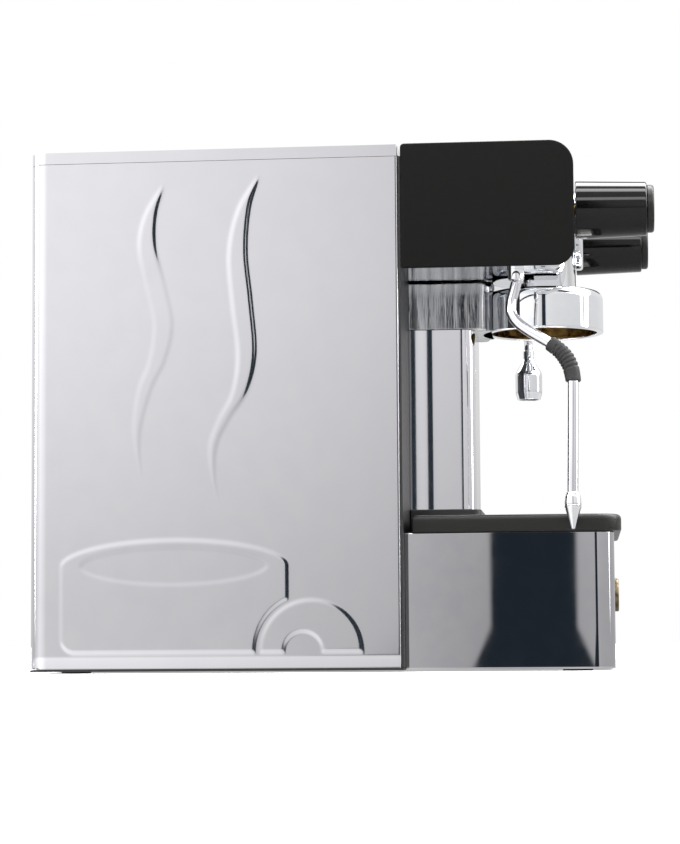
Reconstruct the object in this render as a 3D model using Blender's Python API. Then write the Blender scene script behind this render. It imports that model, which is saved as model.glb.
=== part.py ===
"""Espresso machine for an office counter, as separate pieces with real joints.

Metres, +Z up. The origin is on the counter under the middle of the machine. The front, with the
knobs, faces -Y. The steam wand is on the -X side and the hot-water tap on the +X side.
"""

from math import acos, asin, cos, degrees, pi, radians, sin, sqrt

import bmesh
import bpy
from mathutils import Matrix, Vector

# Clearances and sheet stock
GAP = 0.0003                # between pieces that touch
SLIDE = 0.0010              # around pieces that lift out
SHEET = 0.0012              # stainless sheet
PLATE = 0.0016              # painted steel plate
BORE_GAP = 0.0003           # radial, shaft in its bore

# Casing at the back
CASING_WIDTH = 0.250
CASING_TOP = 0.3853
CASING_REAR = 0.2305
CASING_DEPTH = 0.2740
RELIEF = 0.0012             # height of the pressed picture on the side panels
CORNER = 0.013              # rear vertical corners
EDGE_BEND = 0.0010          # front edge of the side panels
EDGE_RETURN = 0.009
REAR_RETURN = 0.010
COVER_SKIRT = 0.0085
COVER_RIM = 0.0040          # depth of the cup-warming recess
COVER_RIM_WIDTH = 0.0060

# Chassis
PAN_BOTTOM = 0.0014
FOOT_RADIUS = 0.011
FOOT_STUD = 0.003
BULKHEAD_TOP = 0.3768

# Head with its knobs
HEAD_FRONT = -0.1722
HEAD_BOTTOM = 0.2936
HEAD_TOP = 0.3858
HEAD_TOP_RADIUS = 0.0180
HEAD_BOTTOM_RADIUS = 0.0145
HEAD_REAR_RADIUS = 0.0030
CHEEK = 0.0040
CHEEK_SIDE = 0.1246         # outer face of each cheek
FASCIA_INSET = 0.0006       # the chrome sheet stands back from the cheeks' outline
KNOB_X = 0.0920
KNOB_Z = 0.3385
KNOB_LENGTH = 0.0525
KNOB_REAR_RADIUS = 0.0216
KNOB_FRONT_RADIUS = 0.0199
KNOB_CAP_RADIUS = 0.0176
KNOB_CAP = 0.0049
STEM_RADIUS = 0.0040
VALVE_NECK = 0.0090
VALVE_BLOCK = 0.0300

# Gauge and switches
GAUGE_RADIUS = 0.0310
GAUGE_PROUD = 0.0068
GAUGE_LIP = 0.0040
SWITCH_X = 0.0510
ROCKER_WIDTH = 0.0110
ROCKER_HEIGHT = 0.0190
SWITCH_RIM = 0.0022
ROCKER_PIVOT = 0.0040          # behind the fascia
ROCKER_LEAN = -7.0            # degrees at rest, off
BUTTON_RADIUS = 0.0075
BUTTON_TRAVEL = 0.0025
LAMP_RADIUS = 0.0026
LAMP_HOLE = 0.0018
LAMP_Z = 0.3600

# Brew group
GROUP_Y = -0.1475
BELL_RADIUS = 0.0456
BELL_BOTTOM = 0.2580
BELL_TOP = 0.2903
BELL_WALL = 0.0028
BELL_EDGE = 0.0065
NECK_HALF = 0.0430
NECK_FLARE = 0.0014         # how far neck and column widen where they meet the bulkhead
NECK_FLARE_LENGTH = 0.0175
NECK_BOTTOM = 0.2577
NECK_TOP = 0.2930
NECK_FRONT = -0.1040
GASKET_IN = 0.0280
GASKET_OUT = 0.0365
SCREEN_RADIUS = 0.0262
SCREW_RADIUS = 0.0025
PIPE_HOLE = 0.0045
GROUP_PIPE_Z = 0.2740

# Column and base
COLUMN_FRONT = -0.0955
COLUMN_CORNER = 0.0100
PEDESTAL_TOP = 0.1208
PEDESTAL_MARGIN = 0.0045
BASE_HALF = 0.1065
BASE_BOW = 0.0025           # the base's sides and front bulge by this much
BASE_FRONT = -0.1976
BASE_CORNER = 0.0130
BASE_BOTTOM = 0.0014
BASE_TOP = 0.1008
BASE_EAR_TOP = 0.1114
BADGE_RADIUS = 0.0126
BADGE_Z = 0.0562
BADGE = 0.0040

# Drip tray
TRAY_HALF = 0.1115
TRAY_FRONT = -0.2030
TRAY_REAR = -0.0506
TRAY_TOP = 0.1135
TRAY_RIM = 0.0123
TRAY_CORNER = 0.0180
TRAY_WALL = 0.0022
TRAY_FLOOR = 0.0480
GRID_LEDGE = 0.0032
GRID = 0.0016
GRID_SLOTS = 15
GRID_SLOT_WIDTH = 0.0042
FINGER_RECESS = 0.0043      # under the rim's front, to lift the tray by

# Steam wand and hot-water tap
WAND_X = -0.1000
WAND_Y = -0.1290
NUT_RADIUS = 0.0058
NUT_BOTTOM = 0.2862
NUT_TOP = 0.3000
BALL_RADIUS = 0.0040
BALL_RISE = 0.0022          # ball centre above the nut's mouth
TUBE_RADIUS = 0.0040
GRIP_RADIUS = 0.0062
GRIP_RIBS = 7
TIP_RADIUS = 0.0061
TIP_LENGTH = 0.0265
WAND_END = 0.1290           # lower end of the tube
TAP_X = 0.0860
TAP_Y = -0.1330
TAP_REACH = 0.0140
TAP_RADIUS = 0.0034
NOZZLE_RADIUS = 0.0109
NOZZLE_TOP = 0.2565

# Inside
TANK_HALF = 0.0760
TANK_REAR_ROOM = 0.0225     # to the back of the casing
TANK_FRONT_ROOM = 0.0300    # to the boiler
TANK_FLOOR = 0.0760
TANK_RIM = 0.3740
TANK_WALL = 0.0024
LID_MARGIN = 0.0040
BOILER_ROOM = 0.0308        # between bulkhead and boiler
BOILER_RADIUS = 0.0480
BOILER_BOTTOM = 0.0850
BOILER_TOP = 0.2780
PUMP_X = 0.0800
PUMP_RADIUS = 0.0220
PUMP_LENGTH = 0.0900
PUMP_ROOM = 0.0438          # between bulkhead and pump
PUMP_AXIS = 0.0310          # above the floor pan
INLET_X = -0.0780
INLET_Z = 0.0440
INLET_HALF = 0.0150
INLET_TALL = 0.0110

CASING_FRONT = CASING_REAR - CASING_DEPTH
SIDE_X = CASING_WIDTH / 2 - RELIEF
COVER_BOTTOM = CASING_TOP - COVER_SKIRT
PANEL_BOTTOM = PAN_BOTTOM + PLATE + GAP
PANEL_TOP = COVER_BOTTOM - GAP
BULKHEAD_REAR = CASING_FRONT - GAP
BULKHEAD_FRONT = BULKHEAD_REAR - PLATE
BODY_REAR = BULKHEAD_FRONT - GAP        # where head, neck, column and base begin
BOILER_Y = BULKHEAD_REAR + BOILER_ROOM + BOILER_RADIUS
TANK_FRONT = BOILER_Y + BOILER_RADIUS + TANK_FRONT_ROOM
TANK_REAR = CASING_REAR - TANK_REAR_ROOM
PUMP_FRONT = BULKHEAD_REAR + PUMP_ROOM
PUMP_REAR = PUMP_FRONT + PUMP_LENGTH
PUMP_OUTLET = PUMP_FRONT - 0.0140
PAN_TOP = PAN_BOTTOM + PLATE
PUMP_Z = PAN_TOP + PUMP_AXIS
FASCIA_FRONT = HEAD_FRONT + FASCIA_INSET
FASCIA_BACK = FASCIA_FRONT + SHEET
KNOB_REAR = HEAD_FRONT - 0.0008
KNOB_FRONT = KNOB_REAR - KNOB_LENGTH
BALL_Z = NUT_BOTTOM + BALL_RISE
LEFT, RIGHT = -1, 1


# ---------------------------------------------------------------- materials

def material(name, rgb, roughness, metallic=0.0, alpha=1.0):
    """A Principled material of plain colour."""
    made = bpy.data.materials.new(name)
    made.use_nodes = True
    shader = made.node_tree.nodes["Principled BSDF"]
    shader.inputs["Base Color"].default_value = (*rgb, 1.0)
    shader.inputs["Roughness"].default_value = roughness
    shader.inputs["Metallic"].default_value = metallic
    shader.inputs["Alpha"].default_value = alpha
    return made


# ---------------------------------------------------------------- outlines, as lists of 2D points

def arc(cx, cy, radius, start, end, steps=6):
    """Points on a circle from angle start to angle end, in degrees."""
    turn = (end - start) / steps
    return [(cx + radius * cos(radians(start + turn * i)), cy + radius * sin(radians(start + turn * i)))
            for i in range(steps + 1)]


def rounded(x0, x1, y0, y1, radius, steps=5):
    """A rectangle with round corners, counter-clockwise."""
    return (arc(x1 - radius, y0 + radius, radius, -90, 0, steps)
            + arc(x1 - radius, y1 - radius, radius, 0, 90, steps)
            + arc(x0 + radius, y1 - radius, radius, 90, 180, steps)
            + arc(x0 + radius, y0 + radius, radius, 180, 270, steps))


def offset(path, distance):
    """The path moved sideways, to its left for a positive distance, with mitred corners."""
    moved = []
    for i, point in enumerate(path):
        here = Vector(point)
        before = (here - Vector(path[i - 1])).normalized() if i else None
        after = (Vector(path[i + 1]) - here).normalized() if i + 1 < len(path) else None
        before, after = before or after, after or before
        mitre = Vector((-before.y - after.y, before.x + after.x)).normalized()
        stretch = max(0.3, mitre.dot(Vector((-before.y, before.x))))
        moved.append(tuple(here + mitre * (distance / stretch)))
    return moved


def strip(path, thickness):
    """The closed outline of a bent sheet whose outer face follows the path, material to its left."""
    return path + offset(path, thickness)[::-1]


def mirrored(outline):
    """The outline's image across the Y axis, in an order that continues it."""
    return [(-x, y) for x, y in outline[::-1]]


def eased(start, end, length, origin, steps=6):
    """An S-shaped step: (across, along) points from start to end over a length."""
    return [(start + (end - start) * (1 - cos(pi * i / steps)) / 2, origin + length * i / steps)
            for i in range(steps + 1)]


# ---------------------------------------------------------------- solids

def finish(name, shape, look, smooth=True, bevel=0.0, angle=35):
    """Turn a bmesh into a named object, and round its sharp edges if a bevel is asked for."""
    bmesh.ops.recalc_face_normals(shape, faces=shape.faces)
    mesh = bpy.data.meshes.new(name)
    shape.to_mesh(mesh)
    shape.free()
    mesh.materials.append(look)
    if smooth:
        mesh.shade_smooth()
        mesh.set_sharp_from_angle(angle=radians(angle))
    made = bpy.data.objects.new(name, mesh)
    bpy.context.scene.collection.objects.link(made)
    if bevel:
        rounding = made.modifiers.new("rounded edges", 'BEVEL')
        rounding.width = bevel
        rounding.segments = 2
        rounding.limit_method = 'ANGLE'
        rounding.angle_limit = radians(50)
    return made


AXES = {
    'X': Matrix(((0, 0, 1), (1, 0, 0), (0, 1, 0))),     # outline in (y, z), raised along x
    'Y': Matrix(((1, 0, 0), (0, 0, 1), (0, 1, 0))),     # outline in (x, z), raised along y
    'Z': Matrix.Identity(3),                            # outline in (x, y), raised along z
}


def prism(name, outline, low, high, look, axis='Z', bevel=0.0, smooth=True):
    """An outline raised between two levels of an axis."""
    shape = bmesh.new()
    place = AXES[axis]
    face = shape.faces.new([shape.verts.new(place @ Vector((u, v, low))) for u, v in outline])
    raised = bmesh.ops.extrude_face_region(shape, geom=[face])
    lift = place @ Vector((0, 0, high - low))
    for item in raised["geom"]:
        if isinstance(item, bmesh.types.BMVert):
            item.co += lift
    return finish(name, shape, look, smooth, bevel)


def box(name, x, y, z, look, bevel=0.0):
    """A box from three (low, high) pairs."""
    outline = [(x[0], y[0]), (x[1], y[0]), (x[1], y[1]), (x[0], y[1])]
    return prism(name, outline, z[0], z[1], look, bevel=bevel, smooth=False)


def turned(name, profile, centre, look, axis='Z', segments=40):
    """A profile of (radius, height) points, turned about an axis through the centre.

    The profile closes on itself, along the axis if it starts and ends there.
    """
    shape = bmesh.new()
    place = AXES[axis]
    rings = []
    for radius, height in profile:
        count = segments if radius > 1e-7 else 1
        rings.append([shape.verts.new(place @ Vector((radius * cos(2 * pi * i / count),
                                                      radius * sin(2 * pi * i / count), height)))
                      for i in range(count)])
    for one, two in zip(rings, rings[1:] + rings[:1]):
        if len(one) == len(two) == 1:
            continue
        for i in range(segments):
            corners = [one[i % len(one)], one[(i + 1) % len(one)],
                       two[(i + 1) % len(two)], two[i % len(two)]]
            shape.faces.new(list(dict.fromkeys(corners)))
    made = finish(name, shape, look, angle=40)
    made.location = centre
    return made


def smooth_route(points, spacing):
    """Points at about equal spacing on a Catmull-Rom curve through the given ones."""
    knots = [Vector(point) for point in points]
    knots = [2 * knots[0] - knots[1]] + knots + [2 * knots[-1] - knots[-2]]
    route = []
    for a, b, c, d in zip(knots, knots[1:], knots[2:], knots[3:]):
        steps = max(2, round((c - b).length / spacing))
        for i in range(steps):
            t = i / steps
            route.append(0.5 * (2 * b + (c - a) * t + (2 * a - 5 * b + 4 * c - d) * t ** 2
                                + (3 * b - a - 3 * c + d) * t ** 3))
    return route + [knots[-2]]


def swept(name, route, radii, look, bore=0.0, sides=16):
    """A round bar or, with a bore, a sleeve along a route, with its own radius at every point."""
    shape = bmesh.new()
    tangents = [(after - before).normalized() for before, after in
                zip([route[0]] + route[:-1], route[1:] + [route[-1]])]
    across = tangents[0].orthogonal().normalized()
    outer, inner = [], []
    for point, tangent, radius in zip(route, tangents, radii):
        across = (across - tangent * across.dot(tangent)).normalized()
        other = tangent.cross(across)
        spokes = [across * cos(2 * pi * i / sides) + other * sin(2 * pi * i / sides)
                  for i in range(sides)]
        outer.append([shape.verts.new(point + spoke * radius) for spoke in spokes])
        if bore:
            inner.append([shape.verts.new(point + spoke * bore) for spoke in spokes])
    loops = outer + inner[::-1]
    for one, two in zip(loops, loops[1:] + (loops[:1] if bore else [])):
        for i in range(sides):
            shape.faces.new((one[i], one[(i + 1) % sides], two[(i + 1) % sides], two[i]))
    if not bore:
        shape.faces.new(outer[0])
        shape.faces.new(outer[-1])
    return finish(name, shape, look, angle=50)


def combine(target, tool, operation):
    """Cut the tool out of the target, or join it on, with a Boolean modifier."""
    step = target.modifiers.new(operation.lower(), 'BOOLEAN')
    step.operation = operation
    step.object = tool
    tool.hide_render = True
    tool.display_type = 'WIRE'


def cut(target, *tools):
    for tool in tools:
        combine(target, tool, 'DIFFERENCE')


def join(target, *tools):
    for tool in tools:
        combine(target, tool, 'UNION')


def round_bar(name, radius, centre, axis, low, high, look, segments=24):
    """A plain cylinder between two levels of its axis; the centre's own level isn't used."""
    place = list(centre)
    place['XYZ'.index(axis)] = 0.0
    return turned(name, [(0, low), (radius, low), (radius, high), (0, high)], place, look, axis, segments)


# ---------------------------------------------------------------- chassis

def build_chassis(looks):
    """The painted floor pan and front bulkhead that carry everything, and the rubber feet."""
    half, rear = SIDE_X - EDGE_BEND, CASING_REAR - SHEET - GAP
    outline = base_side(BASE_HALF - SHEET - GAP, BASE_FRONT + SHEET + GAP, BASE_CORNER - SHEET,
                        BULKHEAD_FRONT)
    outline += [(half, BULKHEAD_FRONT), (half, rear)]
    pan = prism("base_pan", outline + mirrored(outline), PAN_BOTTOM, PAN_TOP, looks["black"])
    bulkhead = box("front_bulkhead", (-half, half), (BULKHEAD_FRONT, BULKHEAD_REAR),
                   (PAN_TOP + GAP, BULKHEAD_TOP), looks["steel"])
    for x, z, radius in ((KNOB_X - 0.012, KNOB_Z, PIPE_HOLE), (-KNOB_X + 0.012, KNOB_Z, PIPE_HOLE),
                         (0.0, GROUP_PIPE_Z, PIPE_HOLE)):
        cut(bulkhead, round_bar("hole", radius, (x, 0, z), 'Y', BULKHEAD_FRONT - 0.01,
                                BULKHEAD_REAR + 0.01, looks["black"]))
    stud_top = PAN_TOP + 0.0040
    for name, x, y in (("foot_rear_left", -0.095, 0.200), ("foot_rear_right", 0.095, 0.200),
                       ("foot_front_left", -0.085, -0.170), ("foot_front_right", 0.085, -0.170)):
        turned(name, [(0, 0), (FOOT_RADIUS - 0.0004, 0), (FOOT_RADIUS, 0.0004),
                      (FOOT_RADIUS, PAN_BOTTOM - GAP),
                      (FOOT_STUD, PAN_BOTTOM - GAP), (FOOT_STUD, stud_top), (0, stud_top)],
               (x, y, 0), looks["rubber"], segments=24)
        cut(pan, round_bar("hole", FOOT_STUD + BORE_GAP, (x, y, 0), 'Z', PAN_BOTTOM - 0.001,
                           PAN_TOP + 0.001, looks["black"]))


# ---------------------------------------------------------------- casing

REAR_WISP = ((0.1295, 0.3600), (0.1395, 0.3370), (0.1420, 0.3140), (0.1365, 0.2880), (0.1300, 0.2560),
             (0.1345, 0.2290), (0.1435, 0.2080), (0.1495, 0.1780), (0.1475, 0.1500), (0.1445, 0.1360))
FRONT_WISP = ((0.0585, 0.3650), (0.0700, 0.3400), (0.0748, 0.3080), (0.0720, 0.2720), (0.0685, 0.2330),
              (0.0735, 0.2050), (0.0850, 0.1850), (0.0930, 0.1660), (0.0930, 0.1430), (0.0880, 0.1190))
WISP_WIDTH = 0.0180
CUP_Y, RIM_Z, CUP_FOOT = 0.1225, 0.0780, 0.0135
RIM_WIDE, RIM_TALL = 0.0850, 0.0206
MOUTH_WIDE, MOUTH_TALL = 0.0708, 0.0156
HANDLE_Y, HANDLE_Z, HANDLE_RADIUS, HANDLE_GROOVE = 0.0218, 0.0157, 0.0385, 0.0015
FINGER_Y, FINGER_RADIUS = 0.0277, 0.0125


def wisp(knots, width):
    """A curl of steam along a curve through (y, z) knots, thick above its middle and pointed at its ends."""
    line = smooth_route([(y, z, 0) for y, z in knots], 0.011)
    top, foot = knots[0][1], knots[-1][1]
    near, far = [], []
    for i, point in enumerate(line):
        s = min(max((top - point.y) / (top - foot), 0), 1)
        half = width / 2 * abs(sin(pi * s ** 0.7)) ** 0.8 if 0 < i < len(line) - 1 else 0
        near.append((point.x - half, point.y))
        if half:
            far.append((point.x + half, point.y))
    return near + far[::-1]


def cup_outlines():
    """The cup below the steam: its rim and bowl in one, the mouth in them, and the handle past a groove."""
    def oval(wide, tall, start, end, steps):
        turn = [radians(start + (end - start) * i / steps) for i in range(steps + 1)]
        return [(CUP_Y + wide * cos(t), RIM_Z + tall * sin(t)) for t in turn]

    def floor_angle(radius, centre_z):
        return degrees(asin((CUP_FOOT - centre_z) / radius))

    groove = HANDLE_RADIUS + HANDLE_GROOVE
    meets = degrees(acos((CUP_Y - RIM_WIDE - HANDLE_Y) / groove))
    body = (arc(HANDLE_Y, HANDLE_Z, groove, meets, floor_angle(groove, HANDLE_Z), 8)
            + arc(CUP_Y + RIM_WIDE - 0.0120, CUP_FOOT + 0.0120, 0.0120, -90, 0)
            + oval(RIM_WIDE, RIM_TALL, 0, 180, 24))
    mouth = oval(MOUTH_WIDE, MOUTH_TALL, 0, 345, 23)
    outside, inside = floor_angle(HANDLE_RADIUS, HANDLE_Z), floor_angle(FINGER_RADIUS, HANDLE_Z)
    handle = (arc(HANDLE_Y, HANDLE_Z, HANDLE_RADIUS, outside, 180 - outside, 18)
              + arc(FINGER_Y, HANDLE_Z, FINGER_RADIUS, 180 - inside, inside, 10))
    return body, mouth, handle


def cover_outline(inset):
    """The cover's plan drawn in by inset: tight folds in front like the side panels', wide bends behind."""
    x, front, rear = SIDE_X - inset, CASING_FRONT + inset, CASING_REAR - inset
    fold, bend = max(EDGE_BEND - inset, 0.0008), CORNER - inset
    return (arc(x - fold, front + fold, fold, -90, 0, 3) + arc(x - bend, rear - bend, bend, 0, 90)
            + arc(-x + bend, rear - bend, bend, 90, 180) + arc(-x + fold, front + fold, fold, 180, 270, 3))


def build_casing(looks):
    """Two side panels with the pressed picture, the slotted rear panel and the cup-warming cover."""
    for side, name in ((LEFT, "side_panel_left"), (RIGHT, "side_panel_right")):
        corner_x, corner_y = SIDE_X - CORNER, CASING_REAR - CORNER
        bend_x, bend_y = SIDE_X - EDGE_BEND, CASING_FRONT + EDGE_BEND
        path = ([(SIDE_X - EDGE_RETURN, CASING_FRONT)] + arc(bend_x, bend_y, EDGE_BEND, -90, 0, 4)
                + arc(corner_x, corner_y, CORNER, 0, 90, 8) + [(corner_x - REAR_RETURN, CASING_REAR)])
        outline = strip(path, SHEET)
        outline = [(side * x, y) for x, y in outline]
        panel = prism(name, outline, PANEL_BOTTOM, PANEL_TOP, looks["steel"])
        low, high = sorted((side * (SIDE_X - SHEET / 2), side * (SIDE_X + RELIEF)))
        body, mouth, handle = cup_outlines()
        cup = prism("cup", body, low, high, looks["steel"], axis='X')
        cut(cup, prism("mouth", mouth, low - 0.01, high + 0.01, looks["steel"], axis='X'))
        join(panel, cup)
        for picture in (wisp(REAR_WISP, WISP_WIDTH), wisp(FRONT_WISP, WISP_WIDTH), handle):
            join(panel, prism("picture", picture, low, high, looks["steel"], axis='X'))

    half = SIDE_X - CORNER - REAR_RETURN - GAP
    rear = box("rear_panel", (-half, half), (CASING_REAR - SHEET, CASING_REAR), (PANEL_BOTTOM, PANEL_TOP),
               looks["steel"])
    for i in range(8):
        z = 0.240 + 0.012 * i
        cut(rear, box("slot", (-0.060, 0.060), (CASING_REAR - 0.01, CASING_REAR + 0.01), (z, z + 0.0045),
                      looks["steel"]))
    cut(rear, box("inlet hole", (INLET_X - INLET_HALF - GAP, INLET_X + INLET_HALF + GAP),
                  (CASING_REAR - 0.01, CASING_REAR + 0.01),
                  (INLET_Z - INLET_TALL - GAP, INLET_Z + INLET_TALL + GAP), looks["steel"]))

    plate_top = CASING_TOP - COVER_RIM
    cover = prism("top_cover", cover_outline(0), COVER_BOTTOM, CASING_TOP, looks["steel"])
    cut(cover, prism("under", cover_outline(SHEET), COVER_BOTTOM - 0.01, plate_top - SHEET, looks["steel"]),
        prism("recess", cover_outline(COVER_RIM_WIDTH), plate_top, CASING_TOP + 0.01, looks["steel"]))
    mouth = rounded(-TANK_HALF - SLIDE, TANK_HALF + SLIDE, TANK_FRONT - SLIDE, TANK_REAR + SLIDE, 0.010)
    cut(cover, prism("tank mouth", mouth, COVER_BOTTOM - 0.01, CASING_TOP + 0.01, looks["steel"]))
    for i in range(9):
        x = -0.072 + 0.018 * i
        slot = rounded(x - 0.003, x + 0.003, CASING_FRONT + 0.0335, TANK_FRONT - 0.033, 0.0029, 3)
        cut(cover, prism("warm air slot", slot, COVER_BOTTOM - 0.01, CASING_TOP + 0.01, looks["steel"]))


# ---------------------------------------------------------------- head

def head_outline(inset, steps=7):
    """The head's side view as (y, z) points, from its rear top corner round the front to its rear foot."""
    front, low, high = HEAD_FRONT + inset, HEAD_BOTTOM + inset, HEAD_TOP - inset
    top, bottom = HEAD_TOP_RADIUS - inset, HEAD_BOTTOM_RADIUS - inset
    return (arc(front + top, high - top, top, 90, 180, steps)
            + arc(front + bottom, low + bottom, bottom, 180, 270, steps))


def build_head(looks):
    """The black cheeks and the chrome sheet that wraps over the top, down the front and underneath."""
    rear = BODY_REAR
    outline = ([(rear, HEAD_BOTTOM)] + arc(rear - HEAD_REAR_RADIUS, HEAD_TOP - HEAD_REAR_RADIUS,
                                           HEAD_REAR_RADIUS, 0, 90, 3) + head_outline(0.0))
    inner = CHEEK_SIDE - CHEEK
    for side, name in ((LEFT, "cheek_left"), (RIGHT, "cheek_right")):
        low, high = sorted((side * inner, side * CHEEK_SIDE))
        prism(name, outline, low, high, looks["cheek"], axis='X', bevel=0.0006)

    path = head_outline(FASCIA_INSET)
    path = [(rear, HEAD_TOP - FASCIA_INSET)] + path + [(rear, HEAD_BOTTOM + FASCIA_INSET)]
    half = inner - GAP
    shell = prism("head_shell", strip(path, SHEET), -half, half, looks["chrome"], axis='X')
    through = (FASCIA_FRONT - 0.01, FASCIA_BACK + 0.004)
    for side in (LEFT, RIGHT):
        cut(shell, round_bar("stem hole", STEM_RADIUS + 0.0010, (side * KNOB_X, 0, KNOB_Z), 'Y', *through,
                             looks["chrome"]))
    cut(shell, round_bar("gauge hole", GAUGE_RADIUS - GAUGE_LIP, (0, 0, KNOB_Z), 'Y', *through,
                         looks["chrome"], 40))
    cut(shell, round_bar("lamp hole", LAMP_HOLE + BORE_GAP, (SWITCH_X, 0, LAMP_Z), 'Y', *through,
                         looks["chrome"], 16))
    cut(shell, round_bar("button hole", BUTTON_RADIUS + GAP, (SWITCH_X, 0, KNOB_Z), 'Y', *through,
                         looks["chrome"]))
    cut(shell, box("switch hole", (-SWITCH_X - ROCKER_WIDTH / 2 - 0.0016,
                                   -SWITCH_X + ROCKER_WIDTH / 2 + 0.0016),
                   through, (KNOB_Z - ROCKER_HEIGHT / 2 - 0.0016, KNOB_Z + ROCKER_HEIGHT / 2 + 0.0016),
                   looks["chrome"]))
    for x, y in ((WAND_X, WAND_Y), (TAP_X, TAP_Y)):
        cut(shell, round_bar("nut hole", NUT_RADIUS + BORE_GAP, (x, y, 0), 'Z', HEAD_BOTTOM - 0.01,
                             HEAD_BOTTOM + 0.006, looks["chrome"]))


def build_gauge(looks):
    """Pressure gauge in the middle of the fascia: can, bezel, needle and glass."""
    hole = GAUGE_RADIUS - GAUGE_LIP
    face = FASCIA_FRONT - 0.0012
    front = FASCIA_FRONT - GAUGE_PROUD
    glass_back = front + 0.0032
    centre = (0, 0, KNOB_Z)
    turned("gauge_can", [(0, face), (hole - BORE_GAP, face), (hole - BORE_GAP, FASCIA_FRONT + 0.018),
                         (0, FASCIA_FRONT + 0.018)], centre, looks["dial"], 'Y')
    turned("gauge_bezel", [(hole, FASCIA_FRONT - GAP), (GAUGE_RADIUS - 0.0008, FASCIA_FRONT - GAP),
                           (GAUGE_RADIUS, FASCIA_FRONT - 0.0011), (GAUGE_RADIUS, front + 0.0022),
                           (GAUGE_RADIUS - 0.0007, front + 0.0007), (GAUGE_RADIUS - 0.0022, front),
                           (hole - 0.0012, front), (hole - 0.0012, front + 0.0012), (hole, front + 0.0012)],
           centre, looks["chrome"], 'Y')
    turned("gauge_glass", [(0, front + 0.0015), (hole - GAP, front + 0.0015), (hole - GAP, glass_back),
                           (0, glass_back)], centre, looks["glass"], 'Y')
    blade = [(-0.0040, -0.0009), (0.0175, -0.0003), (0.0175, 0.0003), (-0.0040, 0.0009)]
    lean = radians(225)
    blade = [(u * cos(lean) - v * sin(lean), KNOB_Z + u * sin(lean) + v * cos(lean)) for u, v in blade]
    needle = prism("gauge_needle", blade, glass_back + 0.0005, glass_back + 0.0009, looks["needle"],
                   axis='Y')
    join(needle, round_bar("hub", 0.0020, centre, 'Y', glass_back + GAP, face - GAP, looks["needle"], 16))


def build_switches(looks):
    """Power rocker in its frame on the wand's side, brew button and ready lamp on the tap's side."""
    x, z, half, tall = -SWITCH_X, KNOB_Z, ROCKER_WIDTH / 2, ROCKER_HEIGHT / 2
    rim = SWITCH_RIM
    deep = FASCIA_BACK + 0.0100
    frame = box("switch_frame", (x - half - rim, x + half + rim),
                (FASCIA_FRONT - 0.0013, FASCIA_FRONT - GAP),
                (z - tall - rim, z + tall + rim), looks["black"])
    join(frame, box("socket", (x - half - 0.0013, x + half + 0.0013), (FASCIA_FRONT - 0.0008, deep),
                    (z - tall - 0.0013, z + tall + 0.0013), looks["black"]))
    cut(frame, box("rocker space", (x - half - GAP, x + half + GAP), (FASCIA_FRONT - 0.01, deep - 0.0012),
                   (z - tall - 0.0005, z + tall + 0.0005), looks["black"]))
    pivot_y = FASCIA_FRONT + ROCKER_PIVOT
    faces = [(-0.0056, -0.94), (-0.0051, -0.5), (-0.0049, 0.0), (-0.0051, 0.5), (-0.0056, 0.94),
             (0.0020, 0.62), (0.0038, 0.0), (0.0020, -0.62)]
    lean = radians(ROCKER_LEAN)
    profile = [(pivot_y + y * cos(lean) + s * tall * sin(lean), z + s * tall * cos(lean) - y * sin(lean))
               for y, s in faces]
    prism("power_rocker", profile, x - half, x + half, looks["gloss black"], axis='X')

    proud = FASCIA_FRONT - 0.0046
    turned("brew_button", [(0, proud), (BUTTON_RADIUS - 0.0008, proud), (BUTTON_RADIUS, proud + 0.0008),
                           (BUTTON_RADIUS, FASCIA_BACK + GAP), (BUTTON_RADIUS + 0.0020, FASCIA_BACK + GAP),
                           (BUTTON_RADIUS + 0.0020, FASCIA_BACK + 0.0022), (0, FASCIA_BACK + 0.0022)],
           (SWITCH_X, 0, KNOB_Z), looks["gloss black"], 'Y', 28)
    turned("ready_lamp", [(0, FASCIA_FRONT - 0.0014), (LAMP_RADIUS * 0.6, FASCIA_FRONT - 0.0012),
                          (LAMP_RADIUS, FASCIA_FRONT - 0.0007), (LAMP_RADIUS, FASCIA_FRONT - GAP),
                          (LAMP_HOLE, FASCIA_FRONT - GAP), (LAMP_HOLE, FASCIA_BACK + 0.0060),
                          (0, FASCIA_BACK + 0.0060)],
           (SWITCH_X, 0, LAMP_Z), looks["green"], 'Y', 20)


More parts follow.
